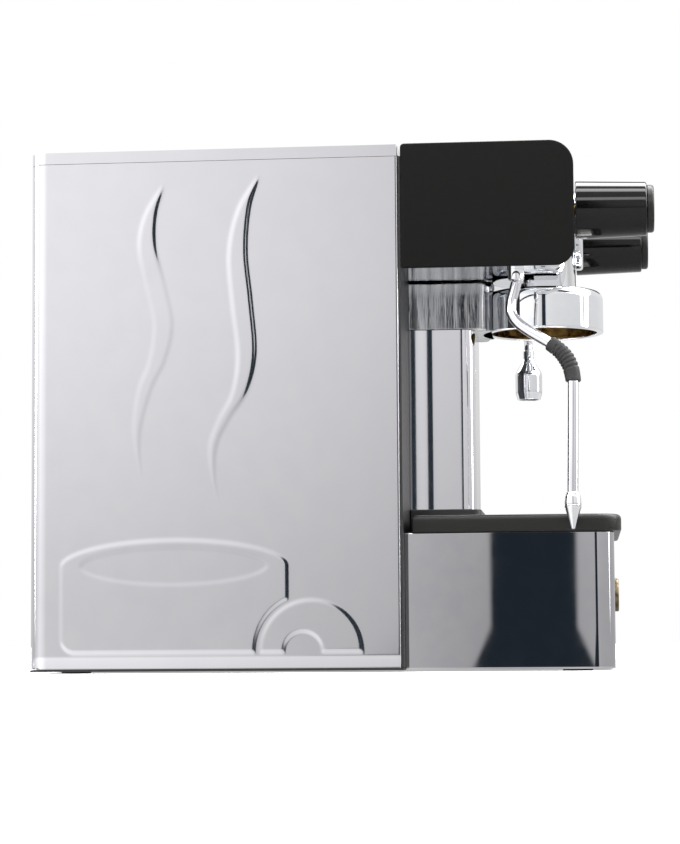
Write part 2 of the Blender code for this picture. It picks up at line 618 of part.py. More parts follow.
def build_valves(looks):
    """Steam and hot-water valves: brass body in the head, stem through the fascia, tall knob with a cap."""
    neck_front = FASCIA_BACK + GAP
    block_front = WAND_Y - VALVE_BLOCK / 2
    block_rear = WAND_Y + VALVE_BLOCK / 2
    for side, which, outlet in ((LEFT, "steam", (WAND_X, WAND_Y)), (RIGHT, "water", (TAP_X, TAP_Y))):
        centre = (side * KNOB_X, 0, KNOB_Z)
        half = VALVE_BLOCK / 2
        body = box("valve_" + which, (side * KNOB_X - half, side * KNOB_X + half),
                   (block_front, block_rear),
                   (NUT_TOP + GAP, KNOB_Z + VALVE_NECK + 0.002), looks["brass"])
        join(body, round_bar("neck", VALVE_NECK, centre, 'Y', neck_front, block_front + 0.004,
                             looks["brass"], 24))
        cut(body, round_bar("stem bore", STEM_RADIUS + BORE_GAP, centre, 'Y', neck_front - 0.01,
                            block_front + 0.010, looks["brass"]))
        cut(body, round_bar("outlet", 0.0025, (*outlet, 0), 'Z', NUT_TOP - 0.01, KNOB_Z - 0.006,
                            looks["brass"], 12))
        round_bar("stem_" + which, STEM_RADIUS, centre, 'Y', KNOB_REAR - 0.0200,
                  block_front + 0.010 - GAP, looks["brass"], 20)
        turned("knob_" + which,
               [(0, KNOB_REAR - 0.0200 - GAP), (STEM_RADIUS + BORE_GAP, KNOB_REAR - 0.0200 - GAP),
                (STEM_RADIUS + BORE_GAP, KNOB_REAR), (KNOB_REAR_RADIUS - 0.0010, KNOB_REAR),
                (KNOB_REAR_RADIUS, KNOB_REAR - 0.0010), (KNOB_FRONT_RADIUS, KNOB_FRONT + 0.0016),
                (KNOB_FRONT_RADIUS - 0.0016, KNOB_FRONT), (0, KNOB_FRONT)],
               centre, looks["gloss black"], 'Y', 44)
        cap_front = KNOB_FRONT - GAP - KNOB_CAP
        turned("knob_cap_" + which,
               [(0, KNOB_FRONT - GAP), (KNOB_CAP_RADIUS, KNOB_FRONT - GAP),
                (KNOB_CAP_RADIUS, cap_front + 0.0020), (KNOB_CAP_RADIUS - 0.0006, cap_front + 0.0006),
                (KNOB_CAP_RADIUS - 0.0020, cap_front), (0, cap_front)],
               centre, looks["satin black"], 'Y', 36)


# ---------------------------------------------------------------- brew group, column and base

def flared(half, rear, corner_front):
    """One side of the neck or column in plan, from its front end back to the wider end at the bulkhead."""
    return ([(half, corner_front)]
            + eased(half, half + NECK_FLARE, NECK_FLARE_LENGTH, rear - NECK_FLARE_LENGTH))


def build_group(looks):
    """The chromed neck, the bell with its gasket, and the shower screen with its centre screw."""
    side = arc(NECK_HALF - 0.006, NECK_FRONT + 0.006, 0.006, -75, 0, 4)
    throat_x, throat_y = 0.0290, NECK_FRONT - 0.010
    outline = [(throat_x - 0.004, throat_y - 0.006), (throat_x, throat_y)] + side + flared(
        NECK_HALF, BODY_REAR, NECK_FRONT + 0.012)
    neck = prism("group_neck", outline + mirrored(outline), NECK_BOTTOM, NECK_TOP, looks["chrome"])
    cut(neck, round_bar("bell seat", BELL_RADIUS + GAP, (0, GROUP_Y, 0), 'Z', NECK_BOTTOM - 0.01,
                        NECK_TOP + 0.01, looks["chrome"], 64),
        round_bar("feed", PIPE_HOLE, (0, 0, GROUP_PIPE_Z), 'Y', BODY_REAR - 0.012, BODY_REAR + 0.01,
                  looks["chrome"]))

    inner = BELL_RADIUS - BELL_WALL
    ceiling = BELL_BOTTOM + 0.0210
    boss = ceiling - 0.0035
    edge = [(BELL_RADIUS - BELL_EDGE + BELL_EDGE * cos(t), BELL_TOP - BELL_EDGE + BELL_EDGE * sin(t))
            for t in (radians(90 - 15 * i) for i in range(7))]
    turned("group_bell", [(0, BELL_TOP)] + edge
           + [(BELL_RADIUS, BELL_BOTTOM + 0.0006), (BELL_RADIUS - 0.0006, BELL_BOTTOM),
              (inner, BELL_BOTTOM), (inner, ceiling), (SCREEN_RADIUS, ceiling), (SCREEN_RADIUS, boss),
              (SCREW_RADIUS + BORE_GAP, boss), (SCREW_RADIUS + BORE_GAP, boss + 0.0080),
              (0, boss + 0.0080)],
           (0, GROUP_Y, 0), looks["chrome"], segments=64)
    turned("group_gasket", [(GASKET_IN, ceiling - GAP), (GASKET_OUT, ceiling - GAP),
                            (GASKET_OUT, ceiling - 0.0050), (GASKET_IN, ceiling - 0.0050)],
           (0, GROUP_Y, 0), looks["rubber"])
    screen = boss - GAP
    turned("shower_screen", [(0, boss + 0.0070), (SCREW_RADIUS, boss + 0.0070), (SCREW_RADIUS, screen),
                             (SCREEN_RADIUS, screen), (SCREEN_RADIUS, screen - 0.0008),
                             (SCREEN_RADIUS - 0.003, screen - 0.0020), (0.0052, screen - 0.0020),
                             (0.0048, screen - 0.0034), (0.0040, screen - 0.0042), (0, screen - 0.0042)],
           (0, GROUP_Y, 0), looks["steel"])


def build_column(looks):
    """The bright sheet column under the neck and the black pedestal that it stands on."""
    corner = arc(NECK_HALF - COLUMN_CORNER, COLUMN_FRONT + COLUMN_CORNER, COLUMN_CORNER, -90, 0, 8)
    half_path = corner + flared(NECK_HALF, BODY_REAR, COLUMN_FRONT + COLUMN_CORNER + 0.003)
    path = mirrored(half_path) + half_path
    prism("column", strip(path, SHEET), PEDESTAL_TOP + GAP, NECK_BOTTOM - GAP, looks["steel"])
    half = NECK_HALF + PEDESTAL_MARGIN
    front = COLUMN_FRONT - PEDESTAL_MARGIN + 0.0008
    outline = arc(half - 0.006, front + 0.006, 0.006, -90, 0, 4) + [(half, BODY_REAR)]
    prism("pedestal", outline + mirrored(outline), PAN_TOP + GAP, PEDESTAL_TOP, looks["black"],
          bevel=0.0008)


def base_side(half, front, corner, rear, steps=10):
    """Half of the base in plan, from the middle of its front round the corner to its rear edge."""
    bowed = []
    for i in range(steps + 1):
        s = i / steps
        y = front + corner + (rear - front - corner) * s
        bowed.append((half + BASE_BOW * 4 * s * (1 - s), y))
    front_edge = [(half - corner, front)]
    return front_edge + arc(half - corner, front + corner, corner, -90, 0, 8)[1:-1] + bowed


def build_base(looks):
    """The mirror-bright base housing and the blank disc on its front."""
    path = base_side(BASE_HALF, BASE_FRONT, BASE_CORNER, BODY_REAR)
    path = mirrored(path) + path
    housing = prism("base_housing", strip(path, SHEET), BASE_BOTTOM, BASE_EAR_TOP, looks["steel"])
    cut(housing, box("ear cut", (-0.2, 0.2), (BASE_FRONT - 0.05, TRAY_REAR + GAP), (BASE_TOP, 0.2),
                     looks["steel"]))
    turned("front_badge", [(0, BASE_FRONT - BADGE), (BADGE_RADIUS - 0.0010, BASE_FRONT - BADGE),
                           (BADGE_RADIUS, BASE_FRONT - BADGE + 0.0010), (BADGE_RADIUS, BASE_FRONT - GAP),
                           (0, BASE_FRONT - GAP)],
           (0, 0, BADGE_Z), looks["bronze"], 'Y', 32)


def tray_outline(inset, notch):
    """The tray in plan, with a notch at the back that goes round the pedestal."""
    x, front, rear = TRAY_HALF - inset, TRAY_FRONT + inset, TRAY_REAR - inset
    corner = max(TRAY_CORNER - inset, 0.002)
    bay_x = NECK_HALF + PEDESTAL_MARGIN + SLIDE + notch
    bay_y = COLUMN_FRONT - PEDESTAL_MARGIN + 0.0008 - SLIDE - notch
    side = ([(x - corner, front)] + arc(x - corner, front + corner, corner, -90, 0, 6)[1:]
            + arc(x - 0.002, rear - 0.002, 0.002, 0, 90, 2)
            + [(bay_x, rear), (bay_x, bay_y)])
    return side + mirrored(side)


def build_tray(looks):
    """The black drip tray, which lifts out, and the slotted grid that lies in it."""
    inset = TRAY_HALF - BASE_HALF + SHEET + SLIDE
    tray = prism("drip_tray", tray_outline(0.0, 0.0), TRAY_TOP - TRAY_RIM, TRAY_TOP, looks["satin black"],
                 bevel=0.0024)
    wall = tray_outline(inset, 0.0)
    join(tray, prism("basin", wall, TRAY_FLOOR, TRAY_TOP - TRAY_RIM / 2, looks["satin black"]))
    cut(tray, prism("hollow", tray_outline(inset + TRAY_WALL, TRAY_WALL), TRAY_FLOOR + TRAY_WALL,
                    TRAY_TOP + 0.01, looks["satin black"]),
        prism("grid seat", tray_outline(inset + TRAY_WALL - 0.0018, TRAY_WALL - 0.0012),
              TRAY_TOP - GRID_LEDGE, TRAY_TOP + 0.01, looks["satin black"]))
    rim_low, reach = TRAY_TOP - TRAY_RIM, TRAY_HALF - TRAY_CORNER / 2
    cut(tray, box("finger recess", (-reach, reach), (TRAY_FRONT - 0.01, BASE_FRONT - GAP),
                  (rim_low - 0.01, rim_low + FINGER_RECESS), looks["satin black"]))

    low = TRAY_TOP - GRID_LEDGE + GAP
    grid = prism("drip_grid", tray_outline(inset + TRAY_WALL - 0.0013, TRAY_WALL - 0.0007), low, low + GRID,
                 looks["steel"])
    reach = TRAY_HALF - inset - TRAY_WALL - 0.012
    pitch = 2 * reach / (GRID_SLOTS - 1)
    front = TRAY_FRONT + inset + TRAY_WALL + 0.008
    middle = COLUMN_FRONT - PEDESTAL_MARGIN - 0.012
    for i in range(GRID_SLOTS):
        x = -reach + pitch * i
        slot = rounded(x - GRID_SLOT_WIDTH / 2, x + GRID_SLOT_WIDTH / 2, front, middle,
                       GRID_SLOT_WIDTH / 2 - 0.0001, 3)
        cut(grid, prism("slot", slot, low - 0.01, low + 0.01, looks["steel"]))


# ---------------------------------------------------------------- wand and tap

def ball_nut(name, x, y, look):
    """A union nut through the head's underside, hollowed for the ball that the tube turns on."""
    socket = BALL_RADIUS + GAP
    mouth = sqrt(socket ** 2 - BALL_RISE ** 2)
    start = acos(-BALL_RISE / socket)
    hollow = [(socket * sin(start + (pi / 2 - start) * i / 5),
               BALL_Z + socket * cos(start + (pi / 2 - start) * i / 5))
              for i in range(6)]
    profile = ([(mouth, NUT_BOTTOM), (NUT_RADIUS - 0.0006, NUT_BOTTOM), (NUT_RADIUS, NUT_BOTTOM + 0.0006),
                (NUT_RADIUS, NUT_TOP), (socket, NUT_TOP)] + hollow[::-1][:-1])
    turned(name, profile, (x, y, 0), look, segments=24)


def ball(name, x, y, look):
    """The ball of a ball joint, solid."""
    profile = [(BALL_RADIUS * sin(pi * i / 12), BALL_Z - BALL_RADIUS * cos(pi * i / 12)) for i in range(13)]
    return turned(name, [(r if 0 < i < 12 else 0.0, h) for i, (r, h) in enumerate(profile)], (x, y, 0),
                  look, segments=20)


def build_wand(looks):
    """The steam wand: union nut, ball, bent tube, ribbed rubber grip and nozzle tip."""
    ball_nut("wand_nut", WAND_X, WAND_Y, looks["chrome"])
    ball("wand_ball", WAND_X, WAND_Y, looks["chrome"])
    top = BALL_Z - BALL_RADIUS - GAP
    route = smooth_route(((WAND_X, WAND_Y, top), (-0.1004, -0.1272, 0.2775), (-0.1014, -0.1252, 0.2700),
                          (-0.1030, -0.1252, 0.2620), (-0.1050, -0.1296, 0.2545),
                          (-0.1070, -0.1375, 0.2480),
                          (-0.1090, -0.1468, 0.2420), (-0.1112, -0.1556, 0.2362),
                          (-0.1130, -0.1627, 0.2295),
                          (-0.1145, -0.1673, 0.2215), (-0.1155, -0.1694, 0.2130),
                          (-0.1165, -0.1697, 0.2050),
                          (-0.1172, -0.1692, 0.1750), (-0.1178, -0.1687, 0.1500),
                          (-0.1180, -0.1683, WAND_END)), 0.0050)
    swept("wand_tube", route, [TUBE_RADIUS] * len(route), looks["steel"], sides=14)
    first = next(i for i, point in enumerate(route) if point.z < 0.2385)
    last = next(i for i, point in enumerate(route) if point.z < 0.2080)
    held = smooth_route(route[first:last + 1], 0.0014)
    radii = []
    for i in range(len(held)):
        s = i / (len(held) - 1)
        rib = 0.0005 * cos(2 * pi * GRIP_RIBS * (s - 0.15) / 0.6) if 0.15 < s < 0.75 else 0.0
        radii.append(GRIP_RADIUS - 0.0008 * abs(s - 0.5) * 2 + min(rib, 0.0))
    swept("wand_grip", held, radii, looks["rubber"], bore=TUBE_RADIUS + BORE_GAP, sides=14)
    end = route[-1].z - GAP
    turned("wand_tip", [(0, end), (0.0046, end), (0.0056, end - 0.0030), (TIP_RADIUS, end - 0.0080),
                        (TIP_RADIUS - 0.0001, end - 0.0110), (0.0010, end - TIP_LENGTH),
                        (0, end - TIP_LENGTH - 0.0004)],
           (route[-1].x, route[-1].y, 0), looks["chrome"], segments=28)


def build_tap(looks):
    """The hot-water tap: union nut, ball, swan tube and bottle-shaped nozzle."""
    ball_nut("tap_nut", TAP_X, TAP_Y, looks["chrome"])
    top = BALL_Z - BALL_RADIUS - GAP
    end = Vector((TAP_X + TAP_REACH, TAP_Y, NOZZLE_TOP + GAP))
    route = smooth_route(((TAP_X, TAP_Y, BALL_Z), (TAP_X, TAP_Y, top - 0.0060),
                          (TAP_X + TAP_REACH * 0.55, TAP_Y, top - 0.0170),
                          (end.x, end.y, end.z + 0.0060), (end.x, end.y, end.z + 0.0030), tuple(end)),
                         0.0030)
    tube = swept("tap_tube", route, [TAP_RADIUS] * len(route), looks["steel"], sides=12)
    join(tube, ball("tap ball", TAP_X, TAP_Y, looks["chrome"]))
    r = NOZZLE_RADIUS
    turned("tap_nozzle", [(0, NOZZLE_TOP), (0.0044, NOZZLE_TOP), (0.0044, NOZZLE_TOP - 0.0060),
                          (0.0062, NOZZLE_TOP - 0.0095), (0.0088, NOZZLE_TOP - 0.0150),
                          (r - 0.0004, NOZZLE_TOP - 0.0185), (r, NOZZLE_TOP - 0.0200),
                          (r, NOZZLE_TOP - 0.0350), (r - 0.0012, NOZZLE_TOP - 0.0395),
                          (r - 0.0030, NOZZLE_TOP - 0.0400), (r - 0.0030, NOZZLE_TOP - 0.0340),
                          (0, NOZZLE_TOP - 0.0340)],
           (end.x, end.y, 0), looks["chrome"], segments=32)


# ---------------------------------------------------------------- inside

def build_water(looks):
    """The lift-out water tank on its shelf, the lid in the cover, the pump and its pipes."""
    outline = rounded(-TANK_HALF, TANK_HALF, TANK_FRONT, TANK_REAR, 0.012)
    tank = prism("water_tank", outline, TANK_FLOOR, TANK_RIM, looks["clear plastic"])
    hollow = rounded(-TANK_HALF + TANK_WALL, TANK_HALF - TANK_WALL, TANK_FRONT + TANK_WALL,
                     TANK_REAR - TANK_WALL, 0.012 - TANK_WALL)
    cut(tank, prism("hollow", hollow, TANK_FLOOR + TANK_WALL, TANK_RIM + 0.01, looks["clear plastic"]))
    inner = SIDE_X - SHEET - GAP
    shelf_top = TANK_FLOOR - GAP
    shelf = prism("tank_shelf", [(-inner, shelf_top), (-inner, PAN_TOP + GAP),
                                 (-inner + PLATE, PAN_TOP + GAP),
                                 (-inner + PLATE, shelf_top - PLATE), (inner - PLATE, shelf_top - PLATE),
                                 (inner - PLATE, PAN_TOP + GAP), (inner, PAN_TOP + GAP),
                                 (inner, shelf_top)],
                  TANK_FRONT - 0.004, TANK_REAR + 0.004, looks["black"], axis='Y')
    cut(shelf, round_bar("outlet hole", PIPE_HOLE, (PUMP_X - 0.03, TANK_FRONT + 0.020, 0), 'Z',
                         shelf_top - 0.01, shelf_top + 0.01, looks["black"]))

    lid_low = CASING_TOP - COVER_RIM + GAP
    lid = prism("tank_lid", rounded(-TANK_HALF - LID_MARGIN, TANK_HALF + LID_MARGIN,
                                    TANK_FRONT - LID_MARGIN,
                                    TANK_REAR + LID_MARGIN, 0.012), lid_low, lid_low + 0.0020,
                looks["steel"])
    grip = rounded(-0.020, 0.020, TANK_FRONT + 0.006, TANK_FRONT + 0.010, 0.0018, 3)
    join(lid, prism("grip", grip, lid_low + 0.0010, lid_low + 0.0034, looks["steel"]))

    low = PUMP_Z - PUMP_RADIUS
    pump = round_bar("pump", PUMP_RADIUS, (PUMP_X, 0, PUMP_Z), 'Y', PUMP_FRONT, PUMP_REAR, looks["black"],
                     28)
    join(pump, round_bar("outlet", 0.0080, (PUMP_X, 0, PUMP_Z), 'Y', PUMP_OUTLET, PUMP_FRONT + 0.004,
                         looks["black"], 16))
    join(pump, box("foot", (PUMP_X - 0.018, PUMP_X + 0.018), (PUMP_FRONT + 0.016, PUMP_REAR - 0.016),
                   (PAN_TOP + GAP, low + 0.0060), looks["black"]))
    shelf_low = TANK_FLOOR - GAP
    x, y = PUMP_X - 0.030, TANK_FRONT + 0.020
    route = smooth_route(((x, y, shelf_low), (x, y, 0.0560),
                          (PUMP_X - 0.010, TANK_FRONT + 0.014, PUMP_Z + 0.004),
                          (PUMP_X, TANK_FRONT - 0.006, PUMP_Z), (PUMP_X, PUMP_REAR + GAP, PUMP_Z)), 0.005)
    swept("pipe_tank", route, [0.0030] * len(route), looks["hose"], sides=10)


def build_steam(looks):
    """The boiler on its skirt, its element, the brew solenoid, the pipes and the power inlet."""
    centre = (0, BOILER_Y, 0)
    dome = 0.010
    skirt, seat = BOILER_RADIUS - dome, PAN_TOP + GAP
    turned("boiler", [(0, BOILER_BOTTOM), (skirt - 0.002, BOILER_BOTTOM), (skirt - 0.002, seat),
                      (skirt + 0.008, seat), (skirt + 0.008, seat + PLATE), (skirt, seat + PLATE),
                      (skirt, BOILER_BOTTOM), (BOILER_RADIUS, BOILER_BOTTOM + dome),
                      (BOILER_RADIUS, BOILER_TOP - dome), (BOILER_RADIUS - dome, BOILER_TOP),
                      (0, BOILER_TOP)], centre, looks["copper"])
    turned("heating_element", [(0, BOILER_TOP + GAP), (0.020, BOILER_TOP + GAP),
                               (0.020, BOILER_TOP + 0.006),
                               (0.006, BOILER_TOP + 0.006), (0.006, BOILER_TOP + 0.018),
                               (0, BOILER_TOP + 0.018)], centre, looks["brass"], segments=24)
    box("brew_solenoid", (-0.015, 0.015), (BULKHEAD_REAR + GAP, BULKHEAD_REAR + 0.024),
        (GROUP_PIPE_Z + 0.0055, GROUP_PIPE_Z + 0.045), looks["black"], bevel=0.001)

    bar = 0.0025
    side_start = BOILER_RADIUS + GAP
    group = smooth_route(((0, BOILER_Y - side_start, 0.262), (0, BOILER_Y - side_start - 0.010, 0.262),
                          (0, BULKHEAD_REAR + 0.012, GROUP_PIPE_Z - 0.004),
                          (0, BULKHEAD_REAR, GROUP_PIPE_Z),
                          (0, BODY_REAR - 0.0110, GROUP_PIPE_Z)), 0.004)
    swept("pipe_group", group, [bar] * len(group), looks["copper"], sides=8)
    block_rear = WAND_Y + VALVE_BLOCK / 2 + GAP
    for side, name, level in ((LEFT, "pipe_steam", 0.262), (RIGHT, "pipe_water", 0.150)):
        x = side * (KNOB_X - 0.012)
        out = side * side_start
        route = smooth_route(((out, BOILER_Y, level), (out + side * 0.005, BOILER_Y, level),
                              (out + side * 0.012, BOILER_Y, level),
                              (x, BOILER_Y - 0.022, level + (KNOB_Z - level) * 0.3),
                              (x, BULKHEAD_REAR + 0.020, KNOB_Z - 0.010), (x, BULKHEAD_REAR, KNOB_Z),
                              (x, block_rear, KNOB_Z)), 0.009)
        swept(name, route, [bar] * len(route), looks["copper"], sides=8)
    boiler_front = BOILER_Y - side_start
    feed = smooth_route(((PUMP_X, PUMP_OUTLET - GAP, PUMP_Z), (PUMP_X, PUMP_OUTLET - 0.004, PUMP_Z),
                         (PUMP_X, PUMP_OUTLET - 0.009, PUMP_Z),
                         (PUMP_X - 0.020, PUMP_OUTLET - 0.018, PUMP_Z + 0.030),
                         (0.030, PUMP_OUTLET - 0.020, 0.095),
                         (0, boiler_front - 0.010, 0.112), (0, boiler_front - 0.004, 0.112),
                         (0, boiler_front, 0.112)), 0.007)
    swept("pipe_feed", feed, [bar] * len(feed), looks["copper"], sides=8)

    inlet = box("power_inlet", (INLET_X - INLET_HALF, INLET_X + INLET_HALF),
                (CASING_REAR - 0.022, CASING_REAR),
                (INLET_Z - INLET_TALL, INLET_Z + INLET_TALL), looks["black"], bevel=0.0006)
    cut(inlet, box("socket", (INLET_X - 0.012, INLET_X + 0.012), (CASING_REAR - 0.016, CASING_REAR + 0.01),
                   (INLET_Z - 0.008, INLET_Z + 0.008), looks["black"]))


def clear_scene():
    for thing in list(bpy.data.objects):
        bpy.data.objects.remove(thing)


def main():
    clear_scene()
    looks = {
        "steel": material("polished stainless steel", (0.72, 0.72, 0.74), 0.08, 1.0),
        "chrome": material("chrome plate", (0.80, 0.80, 0.81), 0.05, 1.0),
        "black": material("black painted steel", (0.02, 0.02, 0.02), 0.5),
        "cheek": material("matt black side cheek", (0.013, 0.013, 0.012), 0.6),
        "gloss black": material("gloss black plastic", (0.012, 0.012, 0.012), 0.12),
        "satin black": material("satin black plastic", (0.030, 0.032, 0.028), 0.45),
        "rubber": material("dark grey rubber", (0.035, 0.035, 0.035), 0.75),
        "brass": material("brass", (0.70, 0.50, 0.20), 0.3, 1.0),
        "copper": material("copper", (0.72, 0.35, 0.22), 0.3, 1.0),
        "bronze": material("dull bronze", (0.19, 0.16, 0.10), 0.4, 1.0),
        "clear plastic": material("clear plastic", (0.80, 0.86, 0.88), 0.2, 0.0, 0.4),
        "glass": material("gauge glass", (0.95, 0.95, 0.95), 0.02, 0.0, 0.25),
        "dial": material("white dial", (0.85, 0.85, 0.83), 0.5),
        "needle": material("black needle", (0.02, 0.02, 0.02), 0.4),
        "green": material("green lamp lens", (0.05, 0.45, 0.12), 0.2),
        "hose": material("silicone hose", (0.70, 0.70, 0.68), 0.4),
    }
    build_chassis(looks)
    build_casing(looks)
    build_head(looks)
    build_gauge(looks)
    build_switches(looks)
    build_valves(looks)
    build_group(looks)
    build_column(looks)
    build_base(looks)
    build_tray(looks)
    build_wand(looks)
    build_tap(looks)
    build_water(looks)
    build_steam(looks)


main()
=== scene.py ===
"""The looks of the espresso machine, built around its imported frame.

Metres, +Z up, the origin on the counter under the middle of the machine. The knobs face -Y and the
steam wand is on the -X side.
"""

import bmesh
import bpy
import numpy as np
from mathutils import Matrix, Vector


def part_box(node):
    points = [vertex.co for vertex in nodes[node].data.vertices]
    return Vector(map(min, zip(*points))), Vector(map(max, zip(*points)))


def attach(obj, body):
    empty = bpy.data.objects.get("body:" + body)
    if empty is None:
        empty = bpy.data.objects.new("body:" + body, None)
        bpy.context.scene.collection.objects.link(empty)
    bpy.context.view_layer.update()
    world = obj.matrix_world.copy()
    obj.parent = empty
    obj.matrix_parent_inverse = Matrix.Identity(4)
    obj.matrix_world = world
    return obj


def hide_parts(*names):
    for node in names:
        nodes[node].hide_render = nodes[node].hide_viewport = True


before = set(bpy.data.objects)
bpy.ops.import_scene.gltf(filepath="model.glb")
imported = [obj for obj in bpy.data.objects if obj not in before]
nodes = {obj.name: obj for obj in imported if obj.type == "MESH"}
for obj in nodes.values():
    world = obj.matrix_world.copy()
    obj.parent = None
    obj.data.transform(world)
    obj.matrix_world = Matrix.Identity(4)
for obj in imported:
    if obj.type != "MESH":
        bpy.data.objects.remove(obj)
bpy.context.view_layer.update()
scene = bpy.context.scene
scene.view_settings.view_transform = "Standard"


# ---- Floor and studio
# A white sweep under a big soft tent. The tent has one tall dark slot beside the machine, which polished
# steel shows as a navy band, and three bright strips overhead for the gloss black knobs.

def linear(code):
    """An sRGB hex colour as linear red, green, blue and full alpha."""
    channel = np.array([int(code[i:i + 2], 16) for i in (1, 3, 5)]) / 255
    return (*np.where(channel <= 0.04045, channel / 12.92, ((channel + 0.055) / 1.055) ** 2.4), 1.0)


def add(tree, kind, inputs=None, **settings):
    """One shader node: its own settings, and for its inputs a value or another node's output each."""
    made = tree.nodes.new("ShaderNode" + kind)
    for key, value in settings.items():
        setattr(made, key, value)
    for key, value in (inputs or {}).items():
        if isinstance(value, bpy.types.NodeSocket):
            tree.links.new(value, made.inputs[key])
        else:
            made.inputs[key].default_value = value
    return made


def ramp(tree, factor, stops):
    """A colour ramp through (position, grey level or colour) stops."""
    made = add(tree, "ValToRGB", {"Fac": factor})
    elements = made.color_ramp.elements
    elements[0].position, elements[-1].position = stops[0][0], stops[-1][0]
    for place, _ in stops[1:-1]:
        elements.new(place)
    for element, (_, tone) in zip(elements, stops):
        element.color = tone if isinstance(tone, tuple) else (tone, tone, tone, 1.0)
    return made.outputs["Color"]


studio = bpy.data.worlds.new("studio")
scene.world = studio
studio.use_nodes = True
tree = studio.node_tree
tree.nodes.clear()
where = add(tree, "SeparateXYZ", {"Vector": add(tree, "TexCoord").outputs["Generated"]})
flip = add(tree, "Math", {0: where.outputs["X"], 1: -1.0}, operation="MULTIPLY")
turn = add(tree, "Math", {0: where.outputs["Y"], 1: flip.outputs[0]}, operation="ARCTAN2")
rise = add(tree, "Math", {0: where.outputs["Z"]}, operation="ARCSINE")
azimuth = add(tree, "Math", {0: turn.outputs[0], 1: 180 / np.pi}, operation="MULTIPLY").outputs[0]
height = add(tree, "Math", {0: rise.outputs[0], 1: 180 / np.pi}, operation="MULTIPLY").outputs[0]
around = add(tree, "MapRange", {"Value": azimuth, "From Min": -180.0, "From Max": 180.0}).outputs["Result"]
up = add(tree, "MapRange", {"Value": height, "From Min": -90.0, "From Max": 90.0}).outputs["Result"]
TONES_AROUND = ((-180, .85), (-150, .95), (-105, .92), (-50, .92), (-20, .95), (-8, 1.0), (-5.5, .92),
                (1.5, .80),
                (4.6, .87), (8, .99), (11.5, 1.10), (22, 1.32), (50, 1.55), (75, 1.20), (96, .90), (104, .90),
                (120, 1.0), (150, 1.0), (180, .85))
TONES_UP = ((-90, .62), (-30, .86), (-8, .98), (-3, .86), (-1.2, .66), (1, .67), (4.5, .81), (8, .92),
            (14, .98),
            (50, 1.0), (90, .92))
tone = ramp(tree, around, [((a + 180) / 360, t) for a, t in TONES_AROUND])
lift = ramp(tree, up, [((e + 90) / 180, t) for e, t in TONES_UP])
tent = add(tree, "MixRGB", {"Fac": 1.0, "Color1": tone, "Color2": lift}, blend_type="MULTIPLY").outputs[0]
SLOT_MIDDLE, SLOT_HALF, SLOT_SOFT, SLOT_COLOUR = -0.75, 3.50, 0.25, "#29323A"
SLOT_SPREAD, SPREAD_FROM = 1.6, 0.2
STRIP_GLOW = 13.0
low_side = add(tree, "Math", {0: SPREAD_FROM, 1: height}, operation="SUBTRACT").outputs[0]
spread = add(tree, "Math", {0: add(tree, "Math", {0: low_side, 1: 0.0}, operation="MAXIMUM").outputs[0],
                             1: SLOT_SPREAD},
             operation="MULTIPLY").outputs[0]
off = add(tree, "Math", {0: azimuth, 1: SLOT_MIDDLE}, operation="SUBTRACT").outputs[0]
edge = add(tree, "Math", {0: add(tree, "Math", {0: off}, operation="ABSOLUTE").outputs[0], 1: spread},
           operation="SUBTRACT").outputs[0]
beside = add(tree, "MapRange", {"Value": edge, "From Min": SLOT_HALF + SLOT_SOFT,
                                "From Max": SLOT_HALF - SLOT_SOFT,
                                "To Min": 0.0, "To Max": 1.0},
             interpolation_type="SMOOTHSTEP").outputs["Result"]
tall = ramp(tree, up, [(87.2 / 180, 0.0), (88.9 / 180, 1.0), (118 / 180, 1.0), (128 / 180, 0.0)])
slot_mask = add(tree, "Math", {0: beside, 1: tall}, operation="MULTIPLY").outputs[0]
walls = add(tree, "MixRGB", {"Fac": slot_mask, "Color1": tent, "Color2": linear(SLOT_COLOUR)}).outputs[0]
forward = add(tree, "Math", {0: where.outputs["Z"], 1: where.outputs["X"]}, operation="ARCTAN2").outputs[0]
arch = add(tree, "MapRange", {"Value": forward, "From Min": 0.0, "From Max": float(np.pi)}).outputs["Result"]
strips = ramp(tree, arch, [(.27, 0.0), (.285, 1.0), (.42, 1.0), (.435, 0.0), (.515, 0.0), (.53, .85),
                           (.60, .70),
                           (.62, 0.0), (.755, 0.0), (.77, .40), (.82, .40), (.835, 0.0)])
hot = add(tree, "MixRGB", {"Fac": 1.0, "Color1": walls,
                           "Color2": add(tree, "MixRGB", {"Fac": 1.0, "Color1": strips,
                                                          "Color2": (STRIP_GLOW, STRIP_GLOW, STRIP_GLOW,
                                                                     1.0)},
                                         blend_type="MULTIPLY").outputs[0]}, blend_type="ADD").outputs[0]
seen = add(tree, "LightPath").outputs["Is Camera Ray"]
lit = add(tree, "Background", {"Color": hot, "Strength": 1.0})
plain = add(tree, "Background", {"Color": (1.0, 1.0, 1.0, 1.0), "Strength": 1.0})
both = add(tree, "MixShader", {0: seen, 1: lit.outputs[0], 2: plain.outputs[0]})
tree.links.new(both.outputs[0], add(tree, "OutputWorld").inputs["Surface"])


def new_material(name, colour, roughness, metallic=0.0):
    """A Principled material with its constant values on the shader's own sockets."""
    made = bpy.data.materials.new(name)
    made.use_nodes = True
    shader = made.node_tree.nodes["Principled BSDF"]
    shader.inputs["Base Color"].default_value = linear(colour)
    shader.inputs["Roughness"].default_value = roughness
    shader.inputs["Metallic"].default_value = metallic
    return made, made.node_tree, shader


def grain(tree, size, detail=2.0, stretch=(1.0, 1.0, 1.0)):
    """Noise over the piece's own coordinates whose blotches are about size metres across."""
    place = add(tree, "Mapping", {"Vector": add(tree, "TexCoord").outputs["Object"], "Scale": stretch})
    return add(tree, "TexNoise", {"Vector": place.outputs[0], "Scale": 1.0 / size,
                                  "Detail": detail}).outputs["Fac"]


